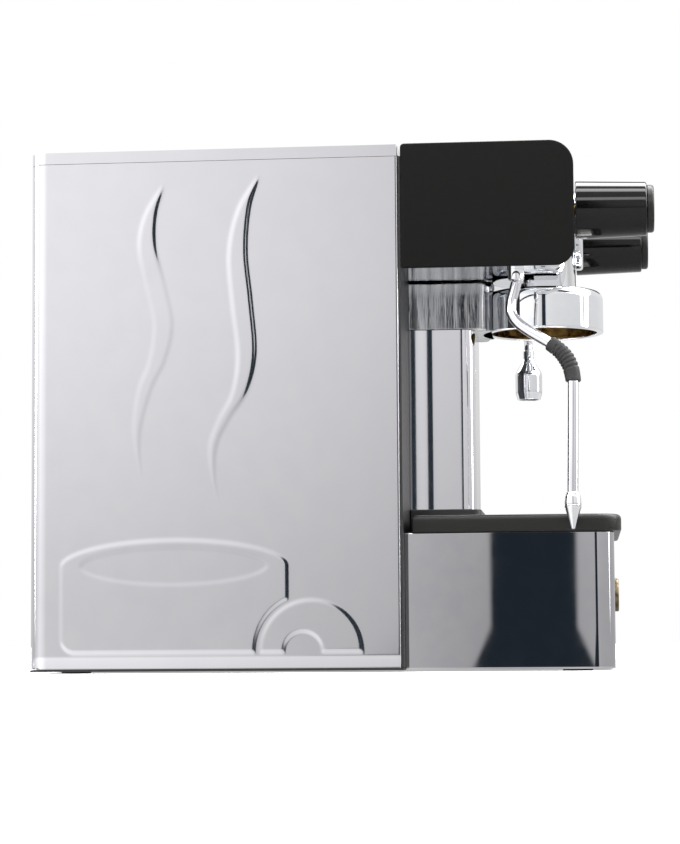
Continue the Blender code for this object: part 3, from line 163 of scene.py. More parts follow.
def vary(tree, shader, factor, first, second, low, high):
    """Base colour between two hex colours and roughness between two values, both by the same factor."""
    tree.links.new(ramp(tree, factor, [(0.35, linear(first)), (0.65, linear(second))]),
                   shader.inputs["Base Color"])
    span = add(tree, "MapRange", {"Value": factor, "From Min": 0.35, "From Max": 0.65, "To Min": low,
                                  "To Max": high})
    tree.links.new(span.outputs["Result"], shader.inputs["Roughness"])


def emboss(tree, shader, level, depth):
    """A bump from a height pattern; depth is the real height of its relief in metres."""
    bump = add(tree, "Bump", {"Height": level, "Distance": depth, "Strength": 1.0})
    tree.links.new(bump.outputs["Normal"], shader.inputs["Normal"])


def linked(name, mesh):
    """An object that shows the mesh, in the scene."""
    made = bpy.data.objects.new(name, mesh)
    scene.collection.objects.link(made)
    return made


# White painted board, rolled smooth.
board, tree, shader = new_material("white painted board, rolled", "#FAFAFA", 0.7)
vary(tree, shader, grain(tree, 0.05), "#F8F8F8", "#FCFCFC", 0.68, 0.75)
shader.inputs["Emission Color"].default_value = (1.0, 1.0, 1.0, 1.0)
shader.inputs["Emission Strength"].default_value = 0.45
FLOOR_REACH = 6.0
floor_mesh = bpy.data.meshes.new("floor")
corners = np.array([(-1, -1, 0), (1, -1, 0), (1, 1, 0), (-1, 1, 0)]) * FLOOR_REACH
floor_mesh.from_pydata(corners.tolist(), [], [(0, 1, 2, 3)])
floor_mesh.materials.append(board)
floor = linked("floor", floor_mesh)
floor.visible_glossy = False


# ---- Camera
# Low beside the machine on the wand's side, a little in front of it and tipped slightly upwards.

CAMERA_PLACE = (-1.91908, -0.17595, 0.02508)
FOCAL_LENGTH = 106.09       # millimetres on a 36 mm sensor
lens = bpy.data.cameras.new("camera")
lens.lens = FOCAL_LENGTH
lens.sensor_width = 36.0
lens.clip_start, lens.clip_end = 0.05, 50.0
camera = bpy.data.objects.new("camera", lens)
scene.collection.objects.link(camera)
ahead = Vector((0.99152781, 0.09700177, 0.08639014))
right = Vector((0.09795772, -0.99516676, -0.00688573))
above = right.cross(ahead)
turned_to = Matrix((right, above, -ahead)).transposed().to_4x4()
camera.matrix_world = Matrix.Translation(CAMERA_PLACE) @ turned_to
scene.camera = camera


# ---- Side panels
# One bent stainless sheet on each side: a tight fold at the front edge, a wide bend into the back, and a
# picture of a steaming cup pressed outwards from behind. Polished, so it mirrors the studio softly.

def outward(mesh, crease):
    """Merge doubles, turn the faces outwards and smooth all but edges sharper than crease degrees."""
    shape = bmesh.new()
    shape.from_mesh(mesh)
    bmesh.ops.remove_doubles(shape, verts=shape.verts, dist=1e-7)
    bmesh.ops.recalc_face_normals(shape, faces=shape.faces)
    shape.to_mesh(mesh)
    shape.free()
    mesh.shade_smooth()
    mesh.set_sharp_from_angle(angle=float(np.radians(crease)))


def surface(name, points, looks, loop=True, lids=True, crease=38, parts=None):
    """A mesh of quads between neighbours of a (rows, columns, 3) array of points.

    loop joins the last column to the first; lids close the first and last rows with flat faces.
    parts gives each row of quads the number of its material.
    """
    rows, columns = points.shape[:2]
    index = np.arange(rows * columns).reshape(rows, columns)
    ring = np.hstack((index, index[:, :1])) if loop else index
    quads = np.stack((ring[:-1, :-1], ring[:-1, 1:], ring[1:, 1:], ring[1:, :-1]), -1).reshape(-1, 4)
    faces = quads.tolist()
    if lids:
        faces += [index[0].tolist(), index[-1].tolist()]
    mesh = bpy.data.meshes.new(name)
    mesh.from_pydata(points.reshape(-1, 3).tolist(), [], faces)
    for look in looks if isinstance(looks, (list, tuple)) else [looks]:
        mesh.materials.append(look)
    if parts is not None:
        numbers = np.repeat(np.asarray(parts), ring.shape[1] - 1)
        mesh.polygons.foreach_set("material_index",
                                  np.r_[numbers, [0] * (len(faces) - len(numbers))].astype(np.int32))
    outward(mesh, crease)
    return linked(name, mesh)


def place(piece, body, slot, *replaced):
    """Rides on its body and stands for the CAD nodes named, which it hides. The slot is not used."""
    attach(piece, body)
    if replaced:
        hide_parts(*replaced)
    return piece


def refinish(node, look):
    """Gives a CAD node, in its own shape, another material."""
    nodes[node].data.materials.clear()
    nodes[node].data.materials.append(look)


def rounded_path(points, radii, closed=False, steps=6):
    """A path of straight runs whose corners are circular arcs, as rational quadratic curves.

    Each arc starts and ends radius x tan(half the turn) from its corner.
    """
    points = np.asarray(points, float)
    count = len(points)
    radii = np.broadcast_to(np.asarray(radii, float), (count,))
    s = np.linspace(0, 1, steps + 1)[:, None]
    out = []
    for i, corner in enumerate(points):
        if radii[i] <= 0 or (not closed and i in (0, count - 1)):
            out.append(corner[None])
            continue
        back, on = points[i - 1] - corner, points[(i + 1) % count] - corner
        back, on = back / np.linalg.norm(back), on / np.linalg.norm(on)
        half = (np.pi - np.arccos(np.clip(back @ on, -1, 1))) / 2
        reach, weight = radii[i] * np.tan(half), np.cos(half)
        a, b, c = (1 - s) ** 2, 2 * s * (1 - s) * weight, s ** 2
        out.append((a * (corner + back * reach) + b * corner + c * (corner + on * reach)) / (a + b + c))
    return np.vstack(out)


def refine(path, step):
    """The path with extra points, so that no two are more than step apart along a straight run."""
    out = [path[:1]]
    for one, two in zip(path, path[1:]):
        count = max(1, int(np.ceil(np.linalg.norm(two - one) / step)))
        out.append(one + (two - one) * (np.arange(1, count + 1)[:, None] / count))
    return np.vstack(out)


def brace(path, closed=False, reach=0.0006):
    """The path with a point just inside both ends of each long run, so its shading stays flat between."""
    path = np.asarray(path, float)
    out = []
    for i in range(len(path) if closed else len(path) - 1):
        one, two = path[i], path[(i + 1) % len(path)]
        out.append(one[None])
        length = np.linalg.norm(two - one)
        if length > 5 * reach:
            out.append(np.stack((one + (two - one) * reach / length, two - (two - one) * reach / length)))
    return np.vstack(out if closed else out + [path[-1:]])


def smooth_step(value):
    """0 below 0, 1 above 1, and an S-curve of 3 v squared minus 2 v cubed between."""
    value = np.clip(value, 0, 1)
    return value * value * (3 - 2 * value)


def through(points, spacing):
    """Points about spacing apart on a Catmull-Rom curve through the given ones."""
    knots = np.asarray(points, float)
    knots = np.vstack((2 * knots[:1] - knots[1:2], knots, 2 * knots[-1:] - knots[-2:-1]))
    out = []
    for a, b, c, d in zip(knots, knots[1:], knots[2:], knots[3:]):
        count = max(2, round(float(np.linalg.norm(c - b)) / spacing))
        t = (np.arange(count) / count)[:, None]
        out.append(0.5 * (2 * b + (c - a) * t + (2 * a - 5 * b + 4 * c - d) * t ** 2
                          + (3 * b - a - 3 * c + d) * t ** 3))
    return np.vstack(out + [knots[-2:-1]])


def wisp(y, z, knots, heights):
    """Height of a curl of steam, a ridge along a curve through (y, z) knots from its top to its foot.

    It fades from the first height to the second. Its half-width is W/2 sin(pi s^0.7)^0.8, with s 0 at the
    top and 1 at the foot.
    """
    line = through([(a, b, 0) for a, b in knots], 0.002)
    top, foot = knots[0][1], knots[-1][1]
    level = np.clip(z, foot, top)
    middle = np.interp(-level, -line[:, 1], line[:, 0])
    lean = np.interp(-level, -line[:, 1], np.gradient(line[:, 0], line[:, 1]))
    s = (top - level) / (top - foot)
    half = WISP_WIDTH / 2 * np.abs(np.sin(np.pi * s ** 0.7)) ** 0.8
    depth = (half - np.abs(y - middle)) / np.sqrt(1 + lean ** 2)
    tall = heights[0] + (heights[1] - heights[0]) * smooth_step((s - heights[2]) / heights[3])
    return tall * smooth_step(depth / WISP_FLANK) * ((z < top) & (z > foot))


def cup(y, z):
    """Height of the cup: rim and bowl in one with the mouth sunk in it, and a handle past a groove.

    Each shape rises with the distance inside its outline, over the flank's width.
    """
    def oval(wide, tall):
        dy, dz = y - CUP_Y, z - RIM_Z
        ratio = np.sqrt((dy / wide) ** 2 + (dz / tall) ** 2) + 1e-9
        return (1 - ratio) * ratio / (np.sqrt((dy / wide ** 2) ** 2 + (dz / tall ** 2) ** 2) + 1e-9)

    corner = CUP_CORNER
    out_y, out_z = np.abs(y - CUP_Y) - (RIM_WIDE - corner), CUP_FOOT + corner - z
    box = corner - np.hypot(np.maximum(out_y, 0), np.maximum(out_z, 0)) - np.minimum(np.maximum(out_y, out_z),
                                                                                     0)
    r = np.hypot(y - HANDLE_Y, z - HANDLE_Z)
    body = np.where(z > RIM_Z, oval(RIM_WIDE, RIM_TALL), np.minimum(box, r - HANDLE_RADIUS - HANDLE_GROOVE))
    finger = np.hypot(y - FINGER_Y, z - HANDLE_Z) - FINGER_RADIUS
    handle = np.minimum(np.minimum(HANDLE_RADIUS - r, finger), z - CUP_FOOT)
    mouth = oval(MOUTH_WIDE, MOUTH_TALL)
    return (CUP_RAISED * smooth_step(body / CUP_FLANK) - MOUTH_SUNK * smooth_step(mouth / MOUTH_FLANK)
            + CUP_RAISED * smooth_step(handle / CUP_FLANK))


REAR_WISP = ((0.1295, 0.3600), (0.1395, 0.3370), (0.1420, 0.3140), (0.1365, 0.2880), (0.1300, 0.2560),
             (0.1345, 0.2290), (0.1435, 0.2080), (0.1495, 0.1780), (0.1475, 0.1500), (0.1445, 0.1360))
FRONT_WISP = ((0.0585, 0.3650), (0.0700, 0.3400), (0.0748, 0.3080), (0.0720, 0.2720), (0.0685, 0.2330),
              (0.0735, 0.2050), (0.0850, 0.1850), (0.0930, 0.1660), (0.0930, 0.1430), (0.0880, 0.1190))
WISP_WIDTH, WISP_FLANK = 0.0180, 0.0042
CUP_Y, RIM_Z, CUP_FOOT, CUP_CORNER = 0.1225, 0.0780, 0.0135, 0.012
RIM_WIDE, RIM_TALL, MOUTH_WIDE, MOUTH_TALL = 0.0850, 0.0206, 0.0708, 0.0156
HANDLE_Y, HANDLE_Z, HANDLE_RADIUS, HANDLE_GROOVE = 0.0218, 0.0157, 0.0385, 0.0015
FINGER_Y, FINGER_RADIUS = 0.0277, 0.0125
CUP_RAISED, CUP_FLANK, MOUTH_SUNK, MOUTH_FLANK = 0.00019, 0.0034, 0.00008, 0.0040
SHEET = 0.0012

# Stainless steel 304, mechanically polished: a faint haze, and a ripple too shallow to feel.
steel, tree, shader = new_material("stainless steel, polished", "#E2E1E6", 0.07, 1.0)
vary(tree, shader, grain(tree, 0.020, 2.0), "#E1E0E5", "#E3E2E6", 0.064, 0.076)
emboss(tree, shader, grain(tree, 0.120, 0.0), 0.00002)

low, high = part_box("side_panel_left")
PANEL_X, PANEL_RETURN, FRONT_FOLD, REAR_BEND, REAR_RETURN = -0.1238, 0.009, 0.0010, 0.013, 0.010
front_y, rear_y = low.y, high.y
outline = rounded_path([(PANEL_X + PANEL_RETURN, front_y), (PANEL_X, front_y), (PANEL_X, rear_y),
                        (PANEL_X + REAR_BEND + REAR_RETURN, rear_y)], [0, FRONT_FOLD, REAR_BEND, 0], steps=12)
PANEL_STEP, PANEL_ROWS = 0.00105, 290
outline = refine(outline, PANEL_STEP)
panel_z = np.linspace(low.z, high.z, PANEL_ROWS)
y = np.broadcast_to(outline[:, 1], (len(panel_z), len(outline)))
z = np.broadcast_to(panel_z[:, None], y.shape)
relief = (wisp(y, z, REAR_WISP, (0.00030, 0.00010, 0.15, 0.20))
          + wisp(y, z, FRONT_WISP, (0.00034, 0.00011, 0.50, 0.25)) + cup(y, z))
flat = (np.abs(outline[:, 0] - PANEL_X) < 1e-6)[None, :]
FOOT_BEND, FOOT_SLOPE = 0.0085, 0.16
tuck = np.maximum(low.z + FOOT_BEND - z, 0) ** 1.5 * FOOT_SLOPE / np.sqrt(FOOT_BEND)
for side, name in ((1, "side_panel_left"), (-1, "side_panel_right")):
    x = outline[:, 0][None, :] - relief * flat + tuck * (outline[:, 0] < PANEL_X + 0.004)[None, :]
    outer = np.stack((x * side, y, z), -1)
    count = len(outline)
    tangent = np.gradient(outline, axis=0)
    normal = np.stack((-tangent[:, 1], tangent[:, 0]), -1) / np.linalg.norm(tangent, axis=1)[:, None]
    inside = outline - normal * SHEET * np.sign(normal[count // 2, 0] * -1)
    inner = np.stack([np.column_stack((inside[:, 0] * side, inside[:, 1], np.full(count, level)))
                      for level in (low.z, high.z)])
    rows = len(panel_z)
    index = np.arange(rows * count).reshape(rows, count)
    below, over = rows * count + np.arange(count), rows * count + count + np.arange(count)
    sheet = np.stack((index[:-1, :-1], index[:-1, 1:], index[1:, 1:], index[1:, :-1]), -1).reshape(-1, 4)
    back = np.stack((below[:-1], over[:-1], over[1:], below[1:]), -1)
    foot = np.stack((index[0, :-1], below[:-1], below[1:], index[0, 1:]), -1)
    top = np.stack((index[-1, :-1], index[-1, 1:], over[1:], over[:-1]), -1)
    ends = [[*index[:, k].tolist(), int(over[k]), int(below[k])] for k in (0, -1)]
    mesh = bpy.data.meshes.new(name)
    mesh.from_pydata(np.vstack((outer.reshape(-1, 3), inner.reshape(-1, 3))).tolist(), [],
                     np.vstack((sheet, back, foot, top)).tolist() + ends)
    mesh.materials.append(steel)
    outward(mesh, 38)
    place(linked(name + "_pressed", mesh), "machine", "steel", name)


# ---- Cup-warming cover, rear panel, tank lid and drip grid
# Punched and folded stainless, the same sheet as the sides. Each keeps its CAD shape; all but the
# cup-warming cover have their folded edges rounded as a press leaves them.

def rounded_copy(node, body, slot, look, radius, crease=38):
    """A CAD node's mesh merged, its flat faces made whole, its sharp edges rounded and its shading evened."""
    mesh = nodes[node].data.copy()
    shape = bmesh.new()
    shape.from_mesh(mesh)
    bmesh.ops.remove_doubles(shape, verts=shape.verts, dist=1e-6)
    bmesh.ops.dissolve_limit(shape, angle_limit=float(np.radians(0.6)), verts=shape.verts, edges=shape.edges)
    shape.to_mesh(mesh)
    shape.free()
    mesh.materials.clear()
    mesh.materials.append(look)
    mesh.shade_smooth()
    mesh.set_sharp_from_angle(angle=float(np.radians(crease)))
    made = linked(node + "_finished", mesh)
    if radius:
        edge = made.modifiers.new("rounded edges", "BEVEL")
        edge.width, edge.segments, edge.limit_method = radius, 2, "ANGLE"
        edge.angle_limit, edge.harden_normals = float(np.radians(45)), True
    even = made.modifiers.new("even shading", "WEIGHTED_NORMAL")
    even.keep_sharp = True
    return place(made, body, slot, node)


rounded_copy("top_cover", "machine", "steel", steel, 0.0)
rounded_copy("rear_panel", "machine", "steel", steel, 0.0002)
rounded_copy("tank_lid", "lid", "steel", steel, 0.0004)

# Stainless steel, brushed along the slots: fine scratches half a millimetre apart.
brushed, tree, shader = new_material("stainless steel, brushed", "#D6D6D4", 0.28, 1.0)
scratch = grain(tree, 0.0006, 3.0, (1.0, 0.04, 1.0))
vary(tree, shader, scratch, "#C9C9C7", "#DDDDDB", 0.22, 0.34)
emboss(tree, shader, scratch, 0.00002)
rounded_copy("drip_grid", "grid", "steel", brushed, 0.0003)


# ---- Floor pan, bulkhead, feet and inner frame
# Folded mild steel, zinc-primed and painted black. The bulkhead's front below the head is meant to be
# bright steel, but clearing its materials after marking those faces sets them all back to paint. The feet
# are moulded rubber.

paint, tree, shader = new_material("mild steel, black painted", "#101011", 0.45)
peel = grain(tree, 0.0012)
vary(tree, shader, peel, "#0E0E0F", "#141415", 0.40, 0.52)
emboss(tree, shader, peel, 0.00002)
for node in ("base_pan", "tank_shelf"):
    refinish(node, paint)

bulkhead = nodes["front_bulkhead"].data.copy()
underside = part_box("head_shell")[0].z
shape = bmesh.new()
shape.from_mesh(bulkhead)
bmesh.ops.bisect_plane(shape, geom=shape.verts[:] + shape.edges[:] + shape.faces[:], dist=1e-6,
                       plane_co=(0, 0, underside), plane_no=(0, 0, 1))
shape.normal_update()
for face in shape.faces:
    face.material_index = int(abs(face.normal.y) > 0.9 and face.calc_center_median().z < underside)
shape.to_mesh(bulkhead)
shape.free()
bulkhead.materials.clear()
for look in (paint, steel):
    bulkhead.materials.append(look)
place(linked("front_bulkhead_faced", bulkhead), "machine", "steel", "front_bulkhead")


# ---- Head
# Two black powder-coated cheeks with a chromed sheet wrapped between them over the top, down the front
# and underneath. The cheeks' edges are rounded by the coating.

def raised(name, outline, levels, axis, look, crease=38):
    """A closed outline carried along an axis; at each (level, inset) it is drawn in along its own normals."""
    outline = brace(outline, closed=True)
    run = np.roll(outline, -1, 0) - np.roll(outline, 1, 0)
    normal = np.stack((run[:, 1], -run[:, 0]), -1) / np.linalg.norm(run, axis=1)[:, None]
    area = np.sum(outline[:, 0] * np.roll(outline[:, 1], -1) - np.roll(outline[:, 0], -1) * outline[:, 1])
    levels = np.asarray(levels, float)
    drawn = outline[None] - np.sign(area) * normal[None] * levels[:, 1][:, None, None]
    level = np.broadcast_to(levels[:, 0][:, None], drawn.shape[:2])
    order = {"X": (level, drawn[..., 0], drawn[..., 1]), "Y": (drawn[..., 0], level, drawn[..., 1]),
             "Z": (drawn[..., 0], drawn[..., 1], level)}[axis]
    return surface(name, np.stack(order, -1), look, crease=crease)


def edged(low, high, radius, steps=5):
    """Levels from low to high with a quarter-round of the given radius at both ends, each braced inside."""
    angle = np.append(np.linspace(0, np.pi / 2, steps + 1)[::-1], 0)[::-1]
    turned = radius * (1 - np.sin(angle))
    turned[0] += 0.0006
    drawn = radius * (1 - np.cos(angle))
    return np.vstack((np.column_stack((low + turned, drawn))[::-1], np.column_stack((high - turned, drawn))))


coat, tree, shader = new_material("mild steel, matt black powder coat", "#090908", 0.60)
shader.inputs["Specular IOR Level"].default_value = 0.07
pebble = grain(tree, 0.0007, 3.0)
vary(tree, shader, pebble, "#080808", "#0B0B0A", 0.55, 0.66)
emboss(tree, shader, pebble, 0.000025)

low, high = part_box("cheek_left")
cheek = rounded_path([(high.y, low.z), (high.y, high.z), (low.y, high.z), (low.y, low.z)],
                     [0.0012, 0.003, 0.018, 0.0145], closed=True, steps=14)
cheek = refine(np.vstack((cheek, cheek[:1])), 0.012)[:-1]
for node in ("cheek_left", "cheek_right"):
    low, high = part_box(node)
    ends = edged(low.x, high.x, 0.0012)
    place(raised(node + "_coated", cheek, ends, "X", coat), "machine", "cheek", node)

# Chrome plate on polished brass and steel: brighter and bluer than the steel, with nothing to blur it.
chrome, tree, shader = new_material("chrome plate, polished", "#E8E9EC", 0.03, 1.0)
vary(tree, shader, grain(tree, 0.015, 3.0), "#E4E6EA", "#EBEBED", 0.02, 0.045)
rounded_copy("head_shell", "machine", "chrome", chrome, 0.0)


# ---- Knobs
# Steam and hot-water knobs: tall tapered barrels moulded in black phenolic and buffed to a high gloss,
# each with a satin cap pressed into its end, turning on a brass stem.

def lathe(name, profile, centre, axis, looks, sides=96, ring=False, crease=38, parts=None):
    """A (radius, height) profile turned about an axis through the centre; ring closes it on itself."""
    profile = np.asarray(profile, float) if parts is not None else brace(profile)
    if ring:
        profile = np.vstack((profile, profile[:1]))
    angle = np.linspace(0, 2 * np.pi, sides, endpoint=False)
    radius, level = profile[:, :1], np.broadcast_to(profile[:, 1:], (len(profile), sides))
    across, along = radius * np.cos(angle), radius * np.sin(angle)
    order = {"Y": (across, level, along), "Z": (across, along, level)}[axis]
    return surface(name, np.stack(order, -1) + np.asarray(centre), looks, lids=False, crease=crease,
                   parts=parts)


gloss, tree, shader = new_material("phenolic, moulded gloss black", "#050505", 0.04)
shader.inputs["Specular IOR Level"].default_value = 0.32
vary(tree, shader, grain(tree, 0.004), "#040404", "#060606", 0.03, 0.055)
satin, tree, shader = new_material("ABS, moulded satin black", "#0F100E", 0.38)
shader.inputs["Specular IOR Level"].default_value = 0.25
spark = grain(tree, 0.0005, 3.0)
vary(tree, shader, spark, "#0D0E0C", "#121310", 0.33, 0.45)
emboss(tree, shader, spark, 0.00002)

SHOULDER_Y = -0.1730
for body, which in (("steam_knob", "steam"), ("water_knob", "water")):
    low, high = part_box("knob_" + which)
    axis_x, axis_z = (low.x + high.x) / 2, (low.z + high.z) / 2
    tip, hub, shoulder = low.y, 0.0043, SHOULDER_Y
    barrel = rounded_path([(0, shoulder - 0.0203), (hub, shoulder - 0.0203), (hub, shoulder),
                           (0.0216, shoulder),
                           (0.0199, tip), (0.0182, tip), (0.0178, tip + 0.0012), (0, tip + 0.0012)],
                          [0, 0, 0.0003, 0.0012, 0.0014, 0.0003, 0.0003, 0], steps=6)
    place(lathe("knob_" + which + "_moulded", barrel, (axis_x, 0, axis_z), "Y", gloss), body, "gloss black",
          "knob_" + which)
    low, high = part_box("knob_cap_" + which)
    disc = rounded_path([(0, high.y), (0.0176, high.y), (0.0176, low.y), (0.0148, low.y),
                         (0.0142, low.y + 0.0006),
                         (0, low.y + 0.0006)], [0, 0.0004, 0.0020, 0.0006, 0.0006, 0], steps=6)
    place(lathe("knob_cap_" + which + "_moulded", disc, (axis_x, 0, axis_z), "Y", satin), body, "satin black",
          "knob_cap_" + which)

# A black sleeve covers each stem between the fascia and its knob.
for which in ("steam", "water"):
    low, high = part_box("knob_" + which)
    near, far = high.y + 0.0005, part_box("head_shell")[0].y - 0.0002
    sleeve = rounded_path([(0.0046, near), (0.0092, near), (0.0092, far), (0.0046, far)],
                          [0.0002, 0.0006, 0.0002, 0.0002], closed=True, steps=4)
    centre = ((low.x + high.x) / 2, 0, (low.z + high.z) / 2)
    place(lathe("sleeve_" + which, sleeve, centre, "Y", satin, 48, ring=True), "machine", "satin black")


# ---- Pressure gauge
# A dial under glass in a chromed bezel, in the middle of the fascia: white enamel, printed ticks and
# plain figures from 0 to 3, and a black needle.

enamel, tree, shader = new_material("enamel, printed white", "#E9E8E3", 0.35)
vary(tree, shader, grain(tree, 0.003), "#E7E6E0", "#ECEBE7", 0.30, 0.40)
ink, tree, shader = new_material("ink, screen printed black", "#161616", 0.5)
vary(tree, shader, grain(tree, 0.0004), "#131313", "#1B1B1B", 0.45, 0.55)
glass, tree, shader = new_material("glass, float polished", "#FFFFFF", 0.0)
shader.inputs["Transmission Weight"].default_value = 1.0
shader.inputs["IOR"].default_value = 1.45
haze = grain(tree, 0.006)
span = add(tree, "MapRange", {"Value": haze, "To Min": 0.0, "To Max": 0.02})
tree.links.new(span.outputs["Result"], shader.inputs["Roughness"])
low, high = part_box("gauge_bezel")
dial_z = (low.z + high.z) / 2
rim, hole = (high.x - low.x) / 2, 0.027
bezel = rounded_path([(hole, high.y), (rim, high.y), (rim, low.y), (hole - 0.0012, low.y),
                      (hole - 0.0012, low.y + 0.0012), (hole, low.y + 0.0012)],
                     [0, 0.0010, 0.0024, 0.0005, 0, 0], closed=True, steps=6)
place(lathe("gauge_bezel_spun", bezel, (0, 0, dial_z), "Y", chrome, ring=True), "machine", "chrome",
      "gauge_bezel")
for node, look in (("gauge_can", enamel), ("gauge_glass", glass), ("gauge_needle", ink)):
    refinish(node, look)
face_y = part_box("gauge_can")[0].y
TICKS, SWEEP_START, SWEEP = 31, 225.0, 270.0
angle = np.radians(SWEEP_START - SWEEP * np.arange(TICKS) / (TICKS - 1))
long_tick = np.arange(TICKS) % 5 == 0
start = np.where(long_tick, 0.0205, 0.0222)
wide = np.where(long_tick, 0.00032, 0.00016)
spoke = np.stack((np.cos(angle), np.sin(angle)), -1)
across = np.stack((-spoke[:, 1], spoke[:, 0]), -1)
corner = np.stack([spoke * start[:, None] - across * wide[:, None], spoke * 0.0245 - across * wide[:, None],
                   spoke * 0.0245 + across * wide[:, None], spoke * start[:, None] + across * wide[:, None]],
                  1)
levels = np.array([face_y - 0.00012, face_y - 0.00002])
solid = np.stack([np.stack((corner[..., 0], np.full(corner.shape[:2], level), corner[..., 1] + dial_z), -1)
                  for level in levels], 1).reshape(-1, 3)
cells = np.array([(0, 1, 2, 3), (7, 6, 5, 4), (0, 4, 5, 1), (1, 5, 6, 2), (2, 6, 7, 3), (3, 7, 4, 0)])
faces = (cells[None] + 8 * np.arange(TICKS)[:, None, None]).reshape(-1, 4)
mesh = bpy.data.meshes.new("gauge_ticks")
mesh.from_pydata(solid.tolist(), [], faces.tolist())
mesh.materials.append(ink)
outward(mesh, 38)
place(linked("gauge_ticks", mesh), "machine", "needle")
for value in range(4):
    lean = np.radians(SWEEP_START - SWEEP * value / 3)
    curve = bpy.data.curves.new("figure", "FONT")
    curve.body, curve.size, curve.extrude = str(value), 0.0062, 0.00005
    curve.align_x, curve.align_y = "CENTER", "CENTER"
    letter = bpy.data.objects.new("figure", curve)
    scene.collection.objects.link(letter)
    bpy.context.view_layer.update()
    mesh = bpy.data.meshes.new_from_object(letter.evaluated_get(bpy.context.evaluated_depsgraph_get()))
    bpy.data.objects.remove(letter)
    spot = Matrix.Translation((0.0165 * np.cos(lean), face_y - 0.00007, dial_z + 0.0165 * np.sin(lean)))
    mesh.transform(spot @ Matrix.Rotation(np.pi / 2, 4, "X"))
    mesh.materials.clear()
    mesh.materials.append(ink)
    place(linked(f"gauge_figure_{value}", mesh), "machine", "needle")


# ---- Switches
# A rocker in a moulded frame for power, a round brew button and a green ready lamp.

rounded_copy("switch_frame", "machine", "satin black", satin, 0.0003)
rounded_copy("power_rocker", "rocker", "gloss black", gloss, 0.0004)
low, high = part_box("brew_button")
mid_x, mid_z = (low.x + high.x) / 2, (low.z + high.z) / 2
cap = rounded_path([(0, low.y + 0.0005), (0.0050, low.y), (0.0075, low.y), (0.0075, high.y - 0.0022),
                    (0.0095, high.y - 0.0022), (0.0095, high.y), (0, high.y)],
                   [0, 0.01, 0.0012, 0, 0.0003, 0.0003, 0], steps=6)
place(lathe("brew_button_moulded", cap, (mid_x, 0, mid_z), "Y", gloss), "button", "gloss black",
      "brew_button")
lens_green, tree, shader = new_material("polycarbonate, moulded green lens", "#2E9C4A", 0.12)
shader.inputs["Transmission Weight"].default_value = 0.35
shader.inputs["IOR"].default_value = 1.58
vary(tree, shader, grain(tree, 0.001), "#2A9546", "#34A351", 0.10, 0.16)
low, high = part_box("ready_lamp")
mid_x, mid_z = (low.x + high.x) / 2, (low.z + high.z) / 2
dome = rounded_path([(0, low.y), (0.0022, low.y), (0.0026, low.y + 0.0011), (0.0018, low.y + 0.0011),
                     (0.0018, high.y), (0, high.y)], [0, 0.0012, 0, 0, 0.0003, 0], steps=6)
place(lathe("ready_lamp_moulded", dome, (mid_x, 0, mid_z), "Y", lens_green, 40), "machine", "green lens",
      "ready_lamp")


# ---- Brew group
# A heavy chromed brass casting: a neck off the bulkhead, and a bell with a bare brass socket for the
# filter handle, a rubber gasket and a shower screen held by one screw. The screen's holes are not cut:
# black discs under it are painted shade where the holes would look dark.

brass, tree, shader = new_material("brass, cast and wire brushed", "#8A6A3A", 0.32, 1.0)
stain = grain(tree, 0.006, 5.0)
vary(tree, shader, stain, "#5A4222", "#A9884F", 0.24, 0.42)
emboss(tree, shader, stain, 0.0001)
rubber, tree, shader = new_material("nitrile rubber, moulded", "#1A1A1B", 0.62)
shader.inputs["Specular IOR Level"].default_value = 0.3
dust = grain(tree, 0.0008, 4.0)
vary(tree, shader, dust, "#171718", "#202021", 0.55, 0.72)
emboss(tree, shader, dust, 0.00003)

low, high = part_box("group_bell")
bell_y, bell_r, socket_r = (low.y + high.y) / 2, (high.y - low.y) / 2, (high.y - low.y) / 2 - 0.0028
ceiling = low.z + 0.0210
boss = ceiling - 0.0035
lip_r, lip_top = socket_r - 0.0022, low.z + 0.0030
bell = rounded_path([(0, high.z), (bell_r, high.z), (bell_r, low.z), (lip_r, low.z), (lip_r, lip_top),
                     (socket_r, lip_top), (socket_r, ceiling), (0.0262, ceiling), (0.0262, boss),
                     (0.0028, boss),
                     (0.0028, boss + 0.0080), (0, boss + 0.0080)],
                    [0, 0.0065, 0.0012, 0.0009, 0.0004, 0.0004, 0.0012, 0.0006, 0.0006, 0.0003, 0, 0],
                    steps=8)
bell = brace(bell)
inside = (bell[:-1, 0] < socket_r + 1e-5) & (bell[:-1, 1] < ceiling + 0.006) & (bell[:-1, 1] > low.z + 0.0008)
place(lathe("group_bell_cast", bell, (0, bell_y, 0), "Z", [chrome, brass], 160, parts=inside.astype(int)),
      "machine", "chrome", "group_bell")
seal = rounded_path([(0.0280, ceiling - 0.0003), (0.0365, ceiling - 0.0003), (0.0365, ceiling - 0.0050),
                     (0.0280, ceiling - 0.0050)], 0.0006, closed=True, steps=4)
place(lathe("group_gasket_moulded", seal, (0, bell_y, 0), "Z", rubber, ring=True), "machine", "rubber",
      "group_gasket")

low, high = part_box("shower_screen")
plate = high.z - 0.0070 - 0.0003
sieve = rounded_path([(0, high.z), (0.0025, high.z), (0.0025, plate), (0.0262, plate),
                      (0.0262, plate - 0.0008),
                      (0.0232, plate - 0.0020), (0.0052, plate - 0.0020), (0.0048, plate - 0.0034),
                      (0.0040, low.z), (0, low.z)],
                     [0, 0.0003, 0, 0.0003, 0.0006, 0.002, 0.0002, 0.0004, 0.0004, 0],
                     steps=4)
place(lathe("shower_screen_spun", sieve, (0, bell_y, 0), "Z", brushed), "machine", "steel", "shower_screen")
# The holes are not cut. Black painted discs just under the screen's plate stand in for them, as painted shade
# where each hole would look dark.
pitch, shade_disc_r = 0.0026, 0.00055
ij = np.stack(np.meshgrid(np.arange(-9, 10), np.arange(-9, 10)), -1).reshape(-1, 2)
spots = np.column_stack((ij[:, 0] * pitch + ij[:, 1] * pitch / 2, ij[:, 1] * pitch * np.sqrt(3) / 2))
away = np.hypot(*spots.T)
